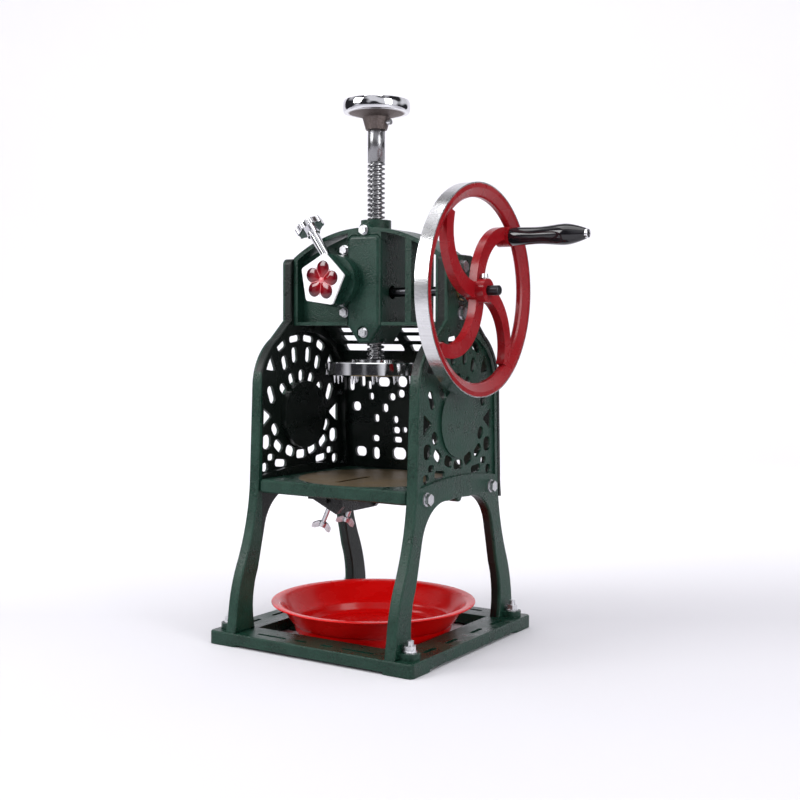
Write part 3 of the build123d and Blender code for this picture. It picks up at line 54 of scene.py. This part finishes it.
# ------------------------------------------------------------------ the photograph's camera
CAMERA_PLACE = (0.877107, -1.324673, 0.397938)
CAMERA_AZIMUTH = radians(32.3376)
CAMERA_PITCH = radians(3.0153)
CAMERA_ROLL = radians(0.2712)
CAMERA_LENS = 54.025
SENSOR = 36


def add_camera():
    """The photograph's camera: position, level direction, small downward pitch and roll."""
    backward = Vector((sin(CAMERA_AZIMUTH) * cos(CAMERA_PITCH),
                       -cos(CAMERA_AZIMUTH) * cos(CAMERA_PITCH), sin(CAMERA_PITCH)))
    level_right = (-backward).cross(Vector((0, 0, 1))).normalized()
    level_up = level_right.cross(-backward)
    right = cos(CAMERA_ROLL) * level_right + sin(CAMERA_ROLL) * level_up
    upward = -sin(CAMERA_ROLL) * level_right + cos(CAMERA_ROLL) * level_up
    camera = bpy.data.objects.new("camera", bpy.data.cameras.new("camera"))
    camera.data.lens = CAMERA_LENS
    camera.data.sensor_width = SENSOR
    camera.data.sensor_fit = "HORIZONTAL"
    camera.data.clip_start = 0.05
    turn = Matrix((right, upward, backward)).transposed()
    camera.matrix_world = Matrix.Translation(CAMERA_PLACE) @ turn.to_4x4()
    bpy.context.scene.collection.objects.link(camera)
    bpy.context.scene.camera = camera


# ------------------------------------------------------------------ material building blocks
class Shader:
    """A node material with short calls for the nodes that the materials here share."""

    def __init__(self, name, roughness=0.4, metallic=0.0):
        self.material = bpy.data.materials.new(name)
        self.material.use_nodes = True
        self.nodes = self.material.node_tree.nodes
        self.links = self.material.node_tree.links
        self.bsdf = self.nodes["Principled BSDF"]
        self.bsdf.inputs["Roughness"].default_value = roughness
        self.bsdf.inputs["Metallic"].default_value = metallic
        self.place = self.nodes.new("ShaderNodeTexCoord").outputs["Object"]

    def set(self, socket, value):
        """Set one of the surface shader's own sockets."""
        self.bsdf.inputs[socket].default_value = value

    def feed(self, output, socket):
        """Link a node's output to one of the surface shader's sockets."""
        self.links.new(output, self.bsdf.inputs[socket])

    def noise(self, scale, detail=3.0, rough=0.5, stretch=(1, 1, 1)):
        """Noise in the piece's own space, with scale in cells for each metre."""
        mapping = self.nodes.new("ShaderNodeMapping")
        mapping.inputs["Scale"].default_value = stretch
        self.links.new(self.place, mapping.inputs["Vector"])
        node = self.nodes.new("ShaderNodeTexNoise")
        node.inputs["Scale"].default_value = scale
        node.inputs["Detail"].default_value = detail
        node.inputs["Roughness"].default_value = rough
        self.links.new(mapping.outputs["Vector"], node.inputs["Vector"])
        return node.outputs["Fac"]

    def cells(self, scale):
        """Distance to the nearest cell centre."""
        node = self.nodes.new("ShaderNodeTexVoronoi")
        node.inputs["Scale"].default_value = scale
        self.links.new(self.place, node.inputs["Vector"])
        return node.outputs["Distance"]

    def math(self, kind, first, second=0.5):
        """Math node on two outputs or numbers."""
        node = self.nodes.new("ShaderNodeMath")
        node.operation = kind
        for value, socket in ((first, node.inputs[0]), (second, node.inputs[1])):
            if isinstance(value, (int, float)):
                socket.default_value = value
            else:
                self.links.new(value, socket)
        return node.outputs[0]

    def remap(self, value, low, high, to_low, to_high):
        """Linear map of a value from one span to another, clamped."""
        node = self.nodes.new("ShaderNodeMapRange")
        for name, number in (("From Min", low), ("From Max", high),
                             ("To Min", to_low), ("To Max", to_high)):
            node.inputs[name].default_value = number
        self.links.new(value, node.inputs["Value"])
        return node.outputs["Result"]

    def mix(self, factor, first, second):
        """Colour mix; first and second are colours or outputs."""
        node = self.nodes.new("ShaderNodeMix")
        node.data_type = "RGBA"
        self.links.new(factor, node.inputs["Factor"])
        for value, socket in ((first, node.inputs["A"]), (second, node.inputs["B"])):
            if isinstance(value, tuple):
                self.colour_socket(node, socket.name).default_value = (*value, 1)
            else:
                self.links.new(value, self.colour_socket(node, socket.name))
        return self.colour_output(node)

    @staticmethod
    def colour_socket(node, name):
        """The colour socket of a Mix node by its letter."""
        return next(s for s in node.inputs if s.name == name and s.type == "RGBA")

    @staticmethod
    def colour_output(node):
        """The colour output of a Mix node."""
        return next(s for s in node.outputs if s.type == "RGBA")

    def bump(self, height, strength, distance, under=None):
        """Bump from a height, over an optional bump beneath it."""
        node = self.nodes.new("ShaderNodeBump")
        node.inputs["Strength"].default_value = strength
        node.inputs["Distance"].default_value = distance
        self.links.new(height, node.inputs["Height"])
        if under:
            self.links.new(under, node.inputs["Normal"])
        return node.outputs["Normal"]

    def axis(self, letter, source=None):
        """One component of the piece's own space."""
        node = self.nodes.new("ShaderNodeSeparateXYZ")
        self.links.new(source or self.place, node.inputs["Vector"])
        return node.outputs[letter]

    def radius(self, first, first_centre, second, second_centre):
        """Distance from an axis through two components' centre values."""
        a = self.math("SUBTRACT", self.axis(first), first_centre)
        b = self.math("SUBTRACT", self.axis(second), second_centre)
        squares = self.math("ADD", self.math("MULTIPLY", a, a), self.math("MULTIPLY", b, b))
        return self.math("SQRT", squares, 0)


PAINTED_SHADE_HALF_WIDTH = 0.1243
PAINTED_SHADE_FRONT_Y = -0.0965
PAINTED_SHADE_BLEND = 0.0004


def cast_paint(name, dark, light, grain=1.0, roughness=(0.22, 0.42), inside=None):
    """Enamel over rough iron casting; an optional colour paints shade over the chamber's inner
    faces.
    """
    shader = Shader(name)
    patches = shader.noise(28, 4, 0.6)
    grains = shader.noise(420, 3, 0.6)
    fine = shader.noise(1100, 2, 0.6)
    pits = shader.cells(260)
    blend = shader.remap(shader.math("ADD", shader.math("MULTIPLY", patches, 0.5),
                                     shader.math("MULTIPLY", grains, 0.5)), 0.38, 0.66, 0, 1)
    colour = shader.mix(blend, dark, light)
    # painted shade: between the side frames and behind their front rims, the enamel darkens towards
    # the given colour where shade falls in the chamber
    if inside:
        across = shader.math("ABSOLUTE", shader.axis("X"), 0)
        painted_shade_across = shader.remap(across, PAINTED_SHADE_HALF_WIDTH, PAINTED_SHADE_HALF_WIDTH + PAINTED_SHADE_BLEND, 1, 0)
        painted_shading_depth = shader.remap(shader.axis("Y"), PAINTED_SHADE_FRONT_Y, PAINTED_SHADE_FRONT_Y + PAINTED_SHADE_BLEND, 0, 1)
        colour = shader.mix(shader.math("MULTIPLY", painted_shade_across, painted_shading_depth), colour, inside)
    shader.feed(colour, "Base Color")
    shader.feed(shader.remap(patches, 0.35, 0.65, *roughness), "Roughness")
    shader.set("Specular IOR Level", 0.3)
    coarse = shader.bump(grains, 0.55 * grain, 0.0011)
    pitted = shader.bump(shader.remap(pits, 0.0, 0.35, 0, 1), 0.25 * grain, 0.0006, coarse)
    shader.feed(shader.bump(fine, 0.35 * grain, 0.0004, pitted), "Normal")
    return shader.material


def polished(name, colour, roughness=(0.05, 0.16), scratch=(1, 1, 1), scratch_scale=900):
    """Bright metal with faint scratches and slightly cloudy polish."""
    shader = Shader(name, metallic=1.0)
    cloud = shader.noise(60, 3)
    lines = shader.noise(scratch_scale, 3, 0.7, scratch)
    darker = tuple(part * 0.86 for part in colour)
    shader.feed(shader.mix(cloud, darker, colour), "Base Color")
    shader.feed(shader.remap(cloud, 0.3, 0.7, *roughness), "Roughness")
    shader.feed(shader.bump(lines, 0.08, 0.0002), "Normal")
    return shader.material


def zinc(name):
    """Zinc plate: pale, a little mottled and dull."""
    shader = Shader(name, metallic=1.0)
    spangle = shader.cells(500)
    tone = shader.noise(180, 3)
    shader.feed(shader.mix(tone, (0.48, 0.48, 0.5), (0.8, 0.8, 0.82)), "Base Color")
    shader.feed(shader.remap(spangle, 0, 0.6, 0.2, 0.38), "Roughness")
    shader.feed(shader.bump(tone, 0.12, 0.0003), "Normal")
    return shader.material


def moulded(name, dark, light, roughness=(0.12, 0.22), grain=0.04, specular=0.5):
    """Moulded gloss plastic or lacquer with faint flow marks."""
    shader = Shader(name)
    flow = shader.noise(22, 3, 0.5, (1, 1, 2.5))
    fine = shader.noise(700, 2)
    shader.feed(shader.mix(flow, dark, light), "Base Color")
    shader.feed(shader.remap(flow, 0.35, 0.65, *roughness), "Roughness")
    shader.feed(shader.bump(fine, grain, 0.0003), "Normal")
    shader.set("Specular IOR Level", specular)
    shader.set("Coat Weight", 0.15)
    shader.set("Coat Roughness", 0.06)
    return shader.material


BAND_START = WHEEL_RADIUS - 0.0009
BAND_FULL = WHEEL_RADIUS - 0.0002
BAND_RAGGED = 0.0016


def wheel_paint():
    """Flywheel: red enamel on the casting, with a ground steel band round the rim."""
    shader = Shader("flywheel_red")
    radius = shader.radius("Y", 0.0, "Z", CRANK_Z)
    ragged = shader.math("MULTIPLY", shader.noise(120, 3), BAND_RAGGED)
    edge = shader.math("ADD", radius, ragged)
    steel = shader.remap(edge, BAND_START, BAND_FULL, 0, 1)
    patches = shader.noise(30, 3)
    red = shader.mix(patches, (0.19, 0.003, 0.006), (0.28, 0.006, 0.010))
    rub = shader.noise(500, 3, 0.7, (0.05, 1, 1))
    grey = shader.mix(rub, (0.50, 0.50, 0.51), (0.84, 0.84, 0.85))
    shader.feed(shader.mix(steel, red, grey), "Base Color")
    shader.feed(steel, "Metallic")
    shader.feed(shader.math("ADD", shader.remap(patches, 0.3, 0.7, 0.16, 0.3), 0.02), "Roughness")
    grains = shader.noise(260, 3)
    shader.feed(shader.bump(grains, 0.22, 0.0006), "Normal")
    shader.set("Specular IOR Level", 0.35)
    shader.set("Coat Weight", 0.08)
    shader.set("Coat Roughness", 0.08)
    return shader.material


DISH_RADIUS = 0.0365
DISH_TOP = HIGH_HANDWHEEL.z - 0.0075
DISH_BLEND = 0.0006
HUB_TOP = LOW_HANDWHEEL.z + 0.021
HUB_BLEND = 0.001


def handwheel_finish():
    """Handwheel: polished rim, dark red underside and rough cast hub."""
    shader = Shader("handwheel_rim_and_hub", metallic=1.0)
    height = shader.axis("Z")
    cast = shader.remap(height, HUB_TOP, HUB_TOP + HUB_BLEND, 1, 0)
    cloud = shader.noise(80, 3)
    grains = shader.noise(500, 3)
    bright = shader.mix(cloud, (0.66, 0.66, 0.68), (0.86, 0.86, 0.88))
    rough_iron = shader.mix(grains, (0.07, 0.055, 0.05), (0.24, 0.2, 0.19))
    radius = shader.radius("X", 0.0, "Y", 0.0)
    within = shader.remap(radius, DISH_RADIUS - DISH_BLEND, DISH_RADIUS, 1, 0)
    below = shader.remap(height, DISH_TOP - DISH_BLEND, DISH_TOP, 1, 0)
    painted = shader.math("MULTIPLY", shader.math("MULTIPLY", within, below),
                          shader.math("SUBTRACT", 1.0, cast))
    finish = shader.mix(painted, bright, (0.10, 0.004, 0.006))
    shader.feed(shader.mix(cast, finish, rough_iron), "Base Color")
    shader.feed(shader.math("SUBTRACT", 1.0, painted), "Metallic")
    shader.feed(shader.remap(cast, 0, 1, 0.07, 0.55), "Roughness")
    shader.feed(shader.bump(shader.math("MULTIPLY", grains, cast), 0.6, 0.0012), "Normal")
    return shader.material


TOOL_MARK_RATE = 5200.0


def ground_plate():
    """Blade disc: brown-gold ground plate with concentric tool marks and stains."""
    shader = Shader("brown_gold_plate", metallic=0.75)
    radius = shader.radius("X", 0.0, "Y", 0.0)
    rings = shader.math("SINE", shader.math("MULTIPLY", radius, TOOL_MARK_RATE), 0)
    stain = shader.noise(26, 4, 0.6)
    speck = shader.noise(300, 3)
    tone = shader.mix(stain, (0.15, 0.105, 0.055), (0.36, 0.27, 0.155))
    shader.feed(shader.mix(shader.remap(speck, 0.45, 0.75, 0, 0.5), tone, (0.10, 0.07, 0.04)),
                "Base Color")
    shader.feed(shader.remap(stain, 0.3, 0.7, 0.34, 0.55), "Roughness")
    shader.feed(shader.bump(rings, 0.06, 0.0002), "Normal")
    return shader.material


PETAL_SHADE_SPAN = (0.006, 0.024)


def blossom_red():
    """Petals: deep glossy red, darker towards the tips."""
    shader = Shader("blossom_red")
    centre_x = (LOW_BADGE.x + HIGH_BADGE.x) / 2
    radius = shader.radius("X", centre_x, "Z", BLOSSOM_Z)
    tip = shader.remap(radius, *PETAL_SHADE_SPAN, 0, 1)
    drift = shader.noise(160, 3)
    tone = shader.mix(drift, (0.30, 0.003, 0.008), (0.20, 0.001, 0.005))
    shader.feed(shader.mix(tip, tone, (0.045, 0.0, 0.004)), "Base Color")
    shader.feed(shader.remap(drift, 0.3, 0.7, 0.08, 0.2), "Roughness")
    shader.set("Coat Weight", 0.35)
    shader.set("Coat Roughness", 0.04)
    return shader.material


# ------------------------------------------------------------------ mesh building blocks
def add_mesh(name, points, faces, material):
    """A mesh piece from points and faces."""
    mesh = bpy.data.meshes.new(name)
    mesh.from_pydata([tuple(p) for p in points], [], faces)
    mesh.validate()
    mesh.update()
    mesh.materials.append(material)
    for polygon in mesh.polygons:
        polygon.use_smooth = True
    piece = bpy.data.objects.new(name, mesh)
    bpy.context.scene.collection.objects.link(piece)
    return piece


def lathe(name, profile, origin, direction, material, steps):
    """Turned piece: profile is (distance along, radius) points about an axis."""
    along = Vector(direction).normalized()
    side = along.orthogonal().normalized()
    other = along.cross(side)
    points = []
    for distance, radius in profile:
        for step in range(steps):
            turn = 2 * pi * step / steps
            points.append(Vector(origin) + along * distance
                          + (side * cos(turn) + other * sin(turn)) * radius)
    faces = []
    for row in range(len(profile) - 1):
        following = row + 1
        for step in range(steps):
            after = (step + 1) % steps
            faces.append((row * steps + step, row * steps + after,
                          following * steps + after, following * steps + step))
    return add_mesh(name, points, faces, material)


def smooth_profile(points, rounds=2):
    """Corner-cutting of an open profile, which keeps its two ends."""
    for _ in range(rounds):
        cut = [points[0]]
        for (a, b), (c, d) in zip(points, points[1:]):
            cut += [(0.75 * a + 0.25 * c, 0.75 * b + 0.25 * d),
                    (0.25 * a + 0.75 * c, 0.25 * b + 0.75 * d)]
        points = cut + [points[-1]]
    return points


# ------------------------------------------------------------------ spindle with a true thread
THREAD_RADIUS = 0.0115
THREAD_ROOT = 0.00775
THREAD_PITCH = 0.0063
THREAD_LOW = LOW_SPINDLE.z + 0.0145
THREAD_HIGH = 0.6255
THREAD_RUNOUT = 0.001
PLAIN_RADIUS = 0.01125
KEYWAY_HALF = 0.0025
KEYWAY_FLOOR = 0.0089


def thread_radius(phase):
    """Radius of the rounded thread at a share of one turn."""
    rise = 0.5 - 0.5 * cos(2 * pi * phase)
    flat_topped = min(1.0, max(0.0, (rise - 0.22) / 0.45))
    eased = flat_topped * flat_topped * (3 - 2 * flat_topped)
    return THREAD_ROOT + (THREAD_RADIUS - THREAD_ROOT) * eased


def build_spindle(material):
    """Spindle: plain ends, one helical thread and a keyway along it."""
    steps = 48
    rows_for_turn = 12
    points, faces = [], []
    heights = [LOW_SPINDLE.z]
    rows = int((THREAD_HIGH - THREAD_LOW) / THREAD_PITCH * rows_for_turn)
    heights += [THREAD_LOW + (THREAD_HIGH - THREAD_LOW) * k / rows for k in range(rows + 1)]
    heights += [THREAD_HIGH + THREAD_RUNOUT, HIGH_SPINDLE.z]
    for height in heights:
        for step in range(steps):
            turn = 2 * pi * step / steps
            if height <= THREAD_LOW:
                radius = THREAD_ROOT
            elif height > THREAD_HIGH:
                radius = PLAIN_RADIUS
            else:
                radius = thread_radius((height - THREAD_LOW) / THREAD_PITCH - step / steps)
            x, y = radius * cos(turn), radius * sin(turn)
            if THREAD_LOW < height <= THREAD_HIGH and abs(x) < KEYWAY_HALF and y > KEYWAY_FLOOR:
                y = KEYWAY_FLOOR
            points.append((x, y, height))
    for row in range(len(heights) - 1):
        for step in range(steps):
            after = (step + 1) % steps
            faces.append((row * steps + step, row * steps + after,
                          (row + 1) * steps + after, (row + 1) * steps + step))
    last = (len(heights) - 1) * steps
    faces.append(tuple(range(steps - 1, -1, -1)))
    faces.append(tuple(last + step for step in range(steps)))
    piece = add_mesh("spindle_thread", points, faces, material)
    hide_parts("spindle_screw")
    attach(piece, "spindle")


# ------------------------------------------------------------------ drip tray
TRAY_WALL = 0.0024
TRAY_FACETS = 144


def build_tray(material):
    """Drip tray: one moulded shell with a rolled rim, a ledge and softly rounded corners."""
    rim_radius = (HIGH_TRAY.x - LOW_TRAY.x) / 2
    low, high = LOW_TRAY.z, HIGH_TRAY.z
    # floor, foot, ledge, wall and flange on the outside, then back along the inside
    outer = [(low, 0.0001), (low, 0.093), (low + 0.0002, 0.0988), (low + 0.0030, 0.1036),
             (low + 0.0138, 0.1057), (low + 0.0152, 0.1083), (high - 0.0060, 0.1222),
             (high - 0.0036, 0.1252), (high - 0.0026, rim_radius - 0.0012),
             (high - 0.0014, rim_radius), (high - 0.0001, rim_radius - 0.0012)]
    inner = [(high - 0.0006, 0.1262), (high - 0.0030, 0.1226),
             (low + 0.0172, 0.1068), (low + 0.0160, 0.1034), (low + 0.0058, 0.1014),
             (low + 0.0028, 0.0975), (low + TRAY_WALL, 0.0925), (low + TRAY_WALL, 0.0001)]
    profile = smooth_profile(outer + inner, 2)
    centre = ((LOW_TRAY.x + HIGH_TRAY.x) / 2, (LOW_TRAY.y + HIGH_TRAY.y) / 2, 0)
    piece = lathe("drip_tray_shell", profile, centre, (0, 0, 1), material, TRAY_FACETS)
    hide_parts("drip_tray")
    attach(piece, "tray")


# ------------------------------------------------------------------ blossom on the badge
BLOSSOM_Z = 0.4705
BLOSSOM_X = -0.0448
PETAL_TURN = radians(82)
PETAL_RING = 0.0160
PETAL_LONG = 0.0098
PETAL_WIDE = 0.0096
HEART_FACETS = 32
VEIN_REACH = 0.020
VEIN_HALF = 0.0007
VEIN_RISE = 0.0006


def build_veins(back_y, material):
    """Low ridges on the badge that run out between the petals."""
    points, faces = [], []
    for k in range(5):
        turn = PETAL_TURN + (k + 0.5) * 2 * pi / 5
        outward = Vector((cos(turn), 0, sin(turn)))
        across = Vector((-sin(turn), 0, cos(turn)))
        start = len(points)
        for share, width in ((0.12, 1.0), (0.6, 0.9), (1.0, 0.3)):
            centre = Vector((BLOSSOM_X, back_y, BLOSSOM_Z)) + outward * VEIN_REACH * share
            points += [centre - across * VEIN_HALF * width,
                       centre + Vector((0, -VEIN_RISE, 0)),
                       centre + across * VEIN_HALF * width]
        for row in range(2):
            a = start + 3 * row
            faces += [(a, a + 1, a + 4, a + 3), (a + 1, a + 2, a + 5, a + 4)]
    return add_mesh("blossom_veins", points, faces, material)


def build_blossom(material, vein_material):
    """Five domed petals meeting at a small raised heart."""
    back_y, front_y = HIGH_PETALS.y, LOW_PETALS.y
    depth = back_y - front_y
    rings, steps = 7, 40
    points, faces = [], []
    for k in range(5):
        turn = PETAL_TURN + k * 2 * pi / 5
        start = len(points)
        centre = Vector((BLOSSOM_X + PETAL_RING * cos(turn), 0,
                         BLOSSOM_Z + PETAL_RING * sin(turn)))
        points.append((centre.x, front_y + 0.0001, centre.z))
        for ring_index in range(1, rings + 1):
            share = ring_index / rings
            rise = (1 - share ** 2.6) * depth
            for step in range(steps):
                angle = 2 * pi * step / steps
                inward = max(0.0, -cos(angle))
                long = share * (PETAL_LONG + 0.0046 * inward ** 3) * cos(angle)
                wide = share * PETAL_WIDE * sin(angle) * (1 - 0.22 * inward ** 2)
                x = centre.x + long * cos(turn) - wide * sin(turn)
                z = centre.z + long * sin(turn) + wide * cos(turn)
                points.append((x, back_y - rise, z))
        for step in range(steps):
            after = (step + 1) % steps
            faces.append((start, start + 1 + step, start + 1 + after))
            for ring_index in range(rings - 1):
                a = start + 1 + ring_index * steps
                b = a + steps
                faces.append((a + step, b + step, b + after, a + after))
    piece = add_mesh("blossom", points, faces, material)
    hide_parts("blossom_petals")
    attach(piece, "frame")
    heart_profile = [(0.0, 0.0042), (0.0006, 0.0040), (0.0012, 0.0028), (0.0015, 0.0001)]
    heart = lathe("blossom_heart", heart_profile, (BLOSSOM_X, back_y, BLOSSOM_Z), (0, -1, 0),
                  vein_material, HEART_FACETS)
    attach(heart, "frame")
    veins = build_veins(back_y, vein_material)
    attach(veins, "frame")


# ------------------------------------------------------------------ handle grip
GRIP_PROFILE = ((0, 0.0001), (0, 0.0100), (0.0015, 0.0115), (0.009, 0.0118), (0.022, 0.0113),
                (0.041, 0.0108), (0.057, 0.0121), (0.073, 0.01375), (0.083, 0.0130),
                (0.094, 0.0103), (0.101, 0.0080), (0.104, 0.0068), (0.104, 0.0001))


GRIP_FACETS = 72


def build_grip(material):
    """Turned black grip with a slim neck and a full belly."""
    centre = (LOW_GRIP.x, (LOW_GRIP.y + HIGH_GRIP.y) / 2, (LOW_GRIP.z + HIGH_GRIP.z) / 2)
    length_share = (HIGH_GRIP.x - LOW_GRIP.x) / GRIP_PROFILE[-1][0]
    profile = [(along * length_share, radius) for along, radius in GRIP_PROFILE]
    body = smooth_profile(profile[1:-1], 2)
    outline = [profile[0]] + body + [profile[-1]]
    piece = lathe("turned_grip", outline, centre, (1, 0, 0), material, GRIP_FACETS)
    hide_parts("handle_grip")
    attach(piece, "grip")


# ------------------------------------------------------------------ stage and light
PAINTED_LIGHT_FADE_SPAN = (0.1, 1.25)
BACKDROP_PAINTED_GLOW = 0.07


def add_stage():
    """Pale floor that runs up into the backdrop, with painted light: a darker floor grading into a
    brighter backdrop that glows for the camera.
    """
    shader = Shader("pale_floor_painted_light", roughness=0.75)
    drift = shader.noise(1.2, 2)
    floor = shader.mix(drift, (0.60, 0.594, 0.62), (0.64, 0.634, 0.66))
    wall = shader.mix(drift, (0.95, 0.945, 0.97), (0.99, 0.985, 1.0))
    sideways = shader.math("MULTIPLY", shader.axis("X"), -sin(CAMERA_AZIMUTH))
    lengthways = shader.math("MULTIPLY", shader.axis("Y"), cos(CAMERA_AZIMUTH))
    # painted light: the floor darkens and the backdrop brightens with distance away from the camera
    painted_shading_depth = shader.remap(shader.math("ADD", sideways, lengthways), *PAINTED_LIGHT_FADE_SPAN, 0, 1)
    shader.feed(shader.mix(painted_shading_depth, floor, wall), "Base Color")
    seen = shader.nodes.new("ShaderNodeLightPath").outputs["Is Camera Ray"]
    # painted light: the backdrop glows for camera rays only, though it is no lamp
    painted_glow = shader.math("MULTIPLY", painted_shading_depth, BACKDROP_PAINTED_GLOW)
    shader.feed(shader.math("MULTIPLY", painted_glow, seen), "Emission Strength")
    shader.set("Emission Color", (1.0, 0.985, 1.0, 1))
    shader.set("Specular IOR Level", 0.1)
    side, turn_start, rise, steps = 4.0, 2.2, 1.6, 12
    points, faces = [], []
    line = [(-3.0, 0.0), (turn_start, 0.0)]
    for k in range(1, steps + 1):
        angle = pi / 2 * k / steps
        line.append((turn_start + rise * sin(angle), rise * (1 - cos(angle))))
    line.append((turn_start + rise, 5.0))
    away = Vector((-sin(CAMERA_AZIMUTH), cos(CAMERA_AZIMUTH), 0))
    across = Vector((cos(CAMERA_AZIMUTH), sin(CAMERA_AZIMUTH), 0))
    for distance, height in line:
        for sign in (-1, 1):
            points.append(away * distance + across * side * sign + Vector((0, 0, height - 0.0005)))
    for k in range(len(line) - 1):
        faces.append((2 * k, 2 * k + 1, 2 * k + 3, 2 * k + 2))
    add_mesh("floor_and_backdrop", points, faces, shader.material)


LAMP_TARGET = (0, 0, 0.35)
LAMPS = (  # (name, place, size, watts)
    ("key_left", (-1.2, -1.7, 1.5), (1.2, 1.2), 34),
    ("fill_right", (2.2, -0.6, 1.1), (1.0, 1.6), 22),
    ("top_soft", (0.1, -0.3, 2.2), (1.6, 1.6), 20),
)


def add_area(name, place, size, power):
    """Soft rectangular studio light aimed at the middle of the part."""
    lamp = bpy.data.lights.new(name, "AREA")
    lamp.shape = "RECTANGLE"
    lamp.size, lamp.size_y = size
    lamp.energy = power
    light = bpy.data.objects.new(name, lamp)
    light.location = place
    aim = Vector(LAMP_TARGET) - Vector(place)
    light.rotation_euler = aim.to_track_quat("-Z", "Y").to_euler()
    bpy.context.scene.collection.objects.link(light)


def add_world():
    """Bright surroundings for the camera, a darker graded room for glossy reflections."""
    world = bpy.data.worlds.new("studio")
    bpy.context.scene.world = world
    world.use_nodes = True
    nodes, links = world.node_tree.nodes, world.node_tree.links
    background = nodes["Background"]
    background.inputs["Color"].default_value = (0.93, 0.92, 0.97, 1)
    background.inputs["Strength"].default_value = 0.85
    reflected = nodes.new("ShaderNodeBackground")
    coordinates = nodes.new("ShaderNodeTexCoord")
    wave = nodes.new("ShaderNodeTexNoise")
    wave.inputs["Scale"].default_value = 1.6
    wave.inputs["Detail"].default_value = 0.0
    ramp = nodes.new("ShaderNodeValToRGB")
    ramp.color_ramp.elements[0].position = 0.42
    ramp.color_ramp.elements[0].color = (0.03, 0.03, 0.035, 1)
    ramp.color_ramp.elements[1].position = 0.58
    ramp.color_ramp.elements[1].color = (0.95, 0.95, 1.0, 1)
    links.new(coordinates.outputs["Generated"], wave.inputs["Vector"])
    links.new(wave.outputs["Fac"], ramp.inputs["Fac"])
    links.new(ramp.outputs["Color"], reflected.inputs["Color"])
    reflected.inputs["Strength"].default_value = 0.8
    path = nodes.new("ShaderNodeLightPath")
    choice = nodes.new("ShaderNodeMixShader")
    links.new(path.outputs["Is Glossy Ray"], choice.inputs["Fac"])
    links.new(background.outputs["Background"], choice.inputs[1])
    links.new(reflected.outputs["Background"], choice.inputs[2])
    links.new(choice.outputs["Shader"], nodes["World Output"].inputs["Surface"])


# ------------------------------------------------------------------ dressing the carried-over nodes
def dress(material, *names):
    """Give carried-over nodes a material."""
    for name in names:
        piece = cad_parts[name]
        if not piece.material_slots:
            piece.data.materials.append(material)
        for slot in piece.material_slots:
            slot.material = material


add_camera()

# painted shade: near-black colour for the side frames' inner faces, where the chamber lies in shade
CHAMBER_PAINTED_SHADE = (0.0035, 0.0065, 0.0050)
green = cast_paint("green_cast_enamel", (0.004, 0.019, 0.012), (0.012, 0.050, 0.033))
green_sides_painted_shade = cast_paint("green_side_enamel_painted_shade", (0.004, 0.019, 0.012), (0.012, 0.050, 0.033),
                         inside=CHAMBER_PAINTED_SHADE)
green_front = cast_paint("green_cover_enamel", (0.005, 0.021, 0.014), (0.013, 0.052, 0.036), 0.7)
# painted shade: the back panel's green enamel is made near black because it sits in shade inside
# the chamber
back_panel_painted_shade = cast_paint("back_panel_green_painted_shade", (0.002, 0.005, 0.004), (0.005, 0.011, 0.008))
black_iron = cast_paint("black_bracket_iron", (0.006, 0.006, 0.006), (0.02, 0.02, 0.02))
chrome = polished("bright_chrome", (0.86, 0.86, 0.88))
bright_steel = polished("turned_steel", (0.70, 0.70, 0.72), (0.12, 0.26), (1, 1, 0.05))
spindle_steel = polished("spindle_steel", (0.30, 0.30, 0.31), (0.2, 0.32), (1, 1, 0.05))
dark_steel = polished("dark_oiled_steel", (0.05, 0.05, 0.055), (0.22, 0.4), (0.05, 1, 1))
gear_iron = cast_paint("greased_iron", (0.05, 0.05, 0.05), (0.14, 0.14, 0.14), 0.5)
bronze = polished("bearing_bronze", (0.62, 0.44, 0.2), (0.2, 0.35))
zinc_plate = zinc("zinc_plate")
white_enamel = moulded("white_enamel", (0.78, 0.78, 0.79), (0.9, 0.9, 0.91), (0.15, 0.3))
black_gloss = moulded("black_lacquer", (0.005, 0.005, 0.006), (0.012, 0.011, 0.014), (0.08, 0.16))
red_shell = moulded("red_tray_plastic", (0.48, 0.001, 0.001), (0.60, 0.002, 0.002),
                    (0.2, 0.32), specular=0.2)
petal_red = blossom_red()
heart_red = moulded("heart_red", (0.52, 0.10, 0.11), (0.66, 0.18, 0.19))

dress(green, "base_plate", "deck_plate", "head_housing")
dress(green_sides_painted_shade, "left_side_frame", "right_side_frame")
dress(green_front, "gear_cover", "feed_housing")
dress(back_panel_painted_shade, "back_panel")
dress(black_iron, "blade_holder", "holder_bolts")
dress(ground_plate(), "blade_disc")
dress(zinc_plate, "back_panel_screws", "deck_bolts", "deck_washers", "neck_bolts", "neck_washers",
      "foot_bolts", "foot_washers", "foot_nuts", "cover_screws", "cover_washers",
      "feed_screws", "feed_washers", "front_wing_bolt", "rear_wing_bolt", "handle_back_nut",
      "flywheel_set_screw")
dress(chrome, "feed_knob", "feed_plunger", "ice_disc", "handle_end_nut")
dress(handwheel_finish(), "handwheel")
dress(bright_steel, "blade", "drive_key", "handwheel_set_screw", "ice_spikes", "shaft_collar",
      "handle_stud")
dress(dark_steel, "crank_shaft")
dress(gear_iron, "bevel_gear", "bevel_pinion")
dress(bronze, "gear_bush", "thrust_washer", "crank_bushes", "feed_nut")
dress(white_enamel, "badge_plate")
dress(wheel_paint(), "flywheel")

build_spindle(spindle_steel)
build_tray(red_shell)
build_blossom(petal_red, heart_red)
build_grip(black_gloss)

add_stage()
add_world()
for lamp_name, lamp_place, lamp_size, watts in LAMPS:
    add_area(lamp_name, lamp_place, lamp_size, watts)

bpy.context.scene.view_settings.view_transform = "Standard"
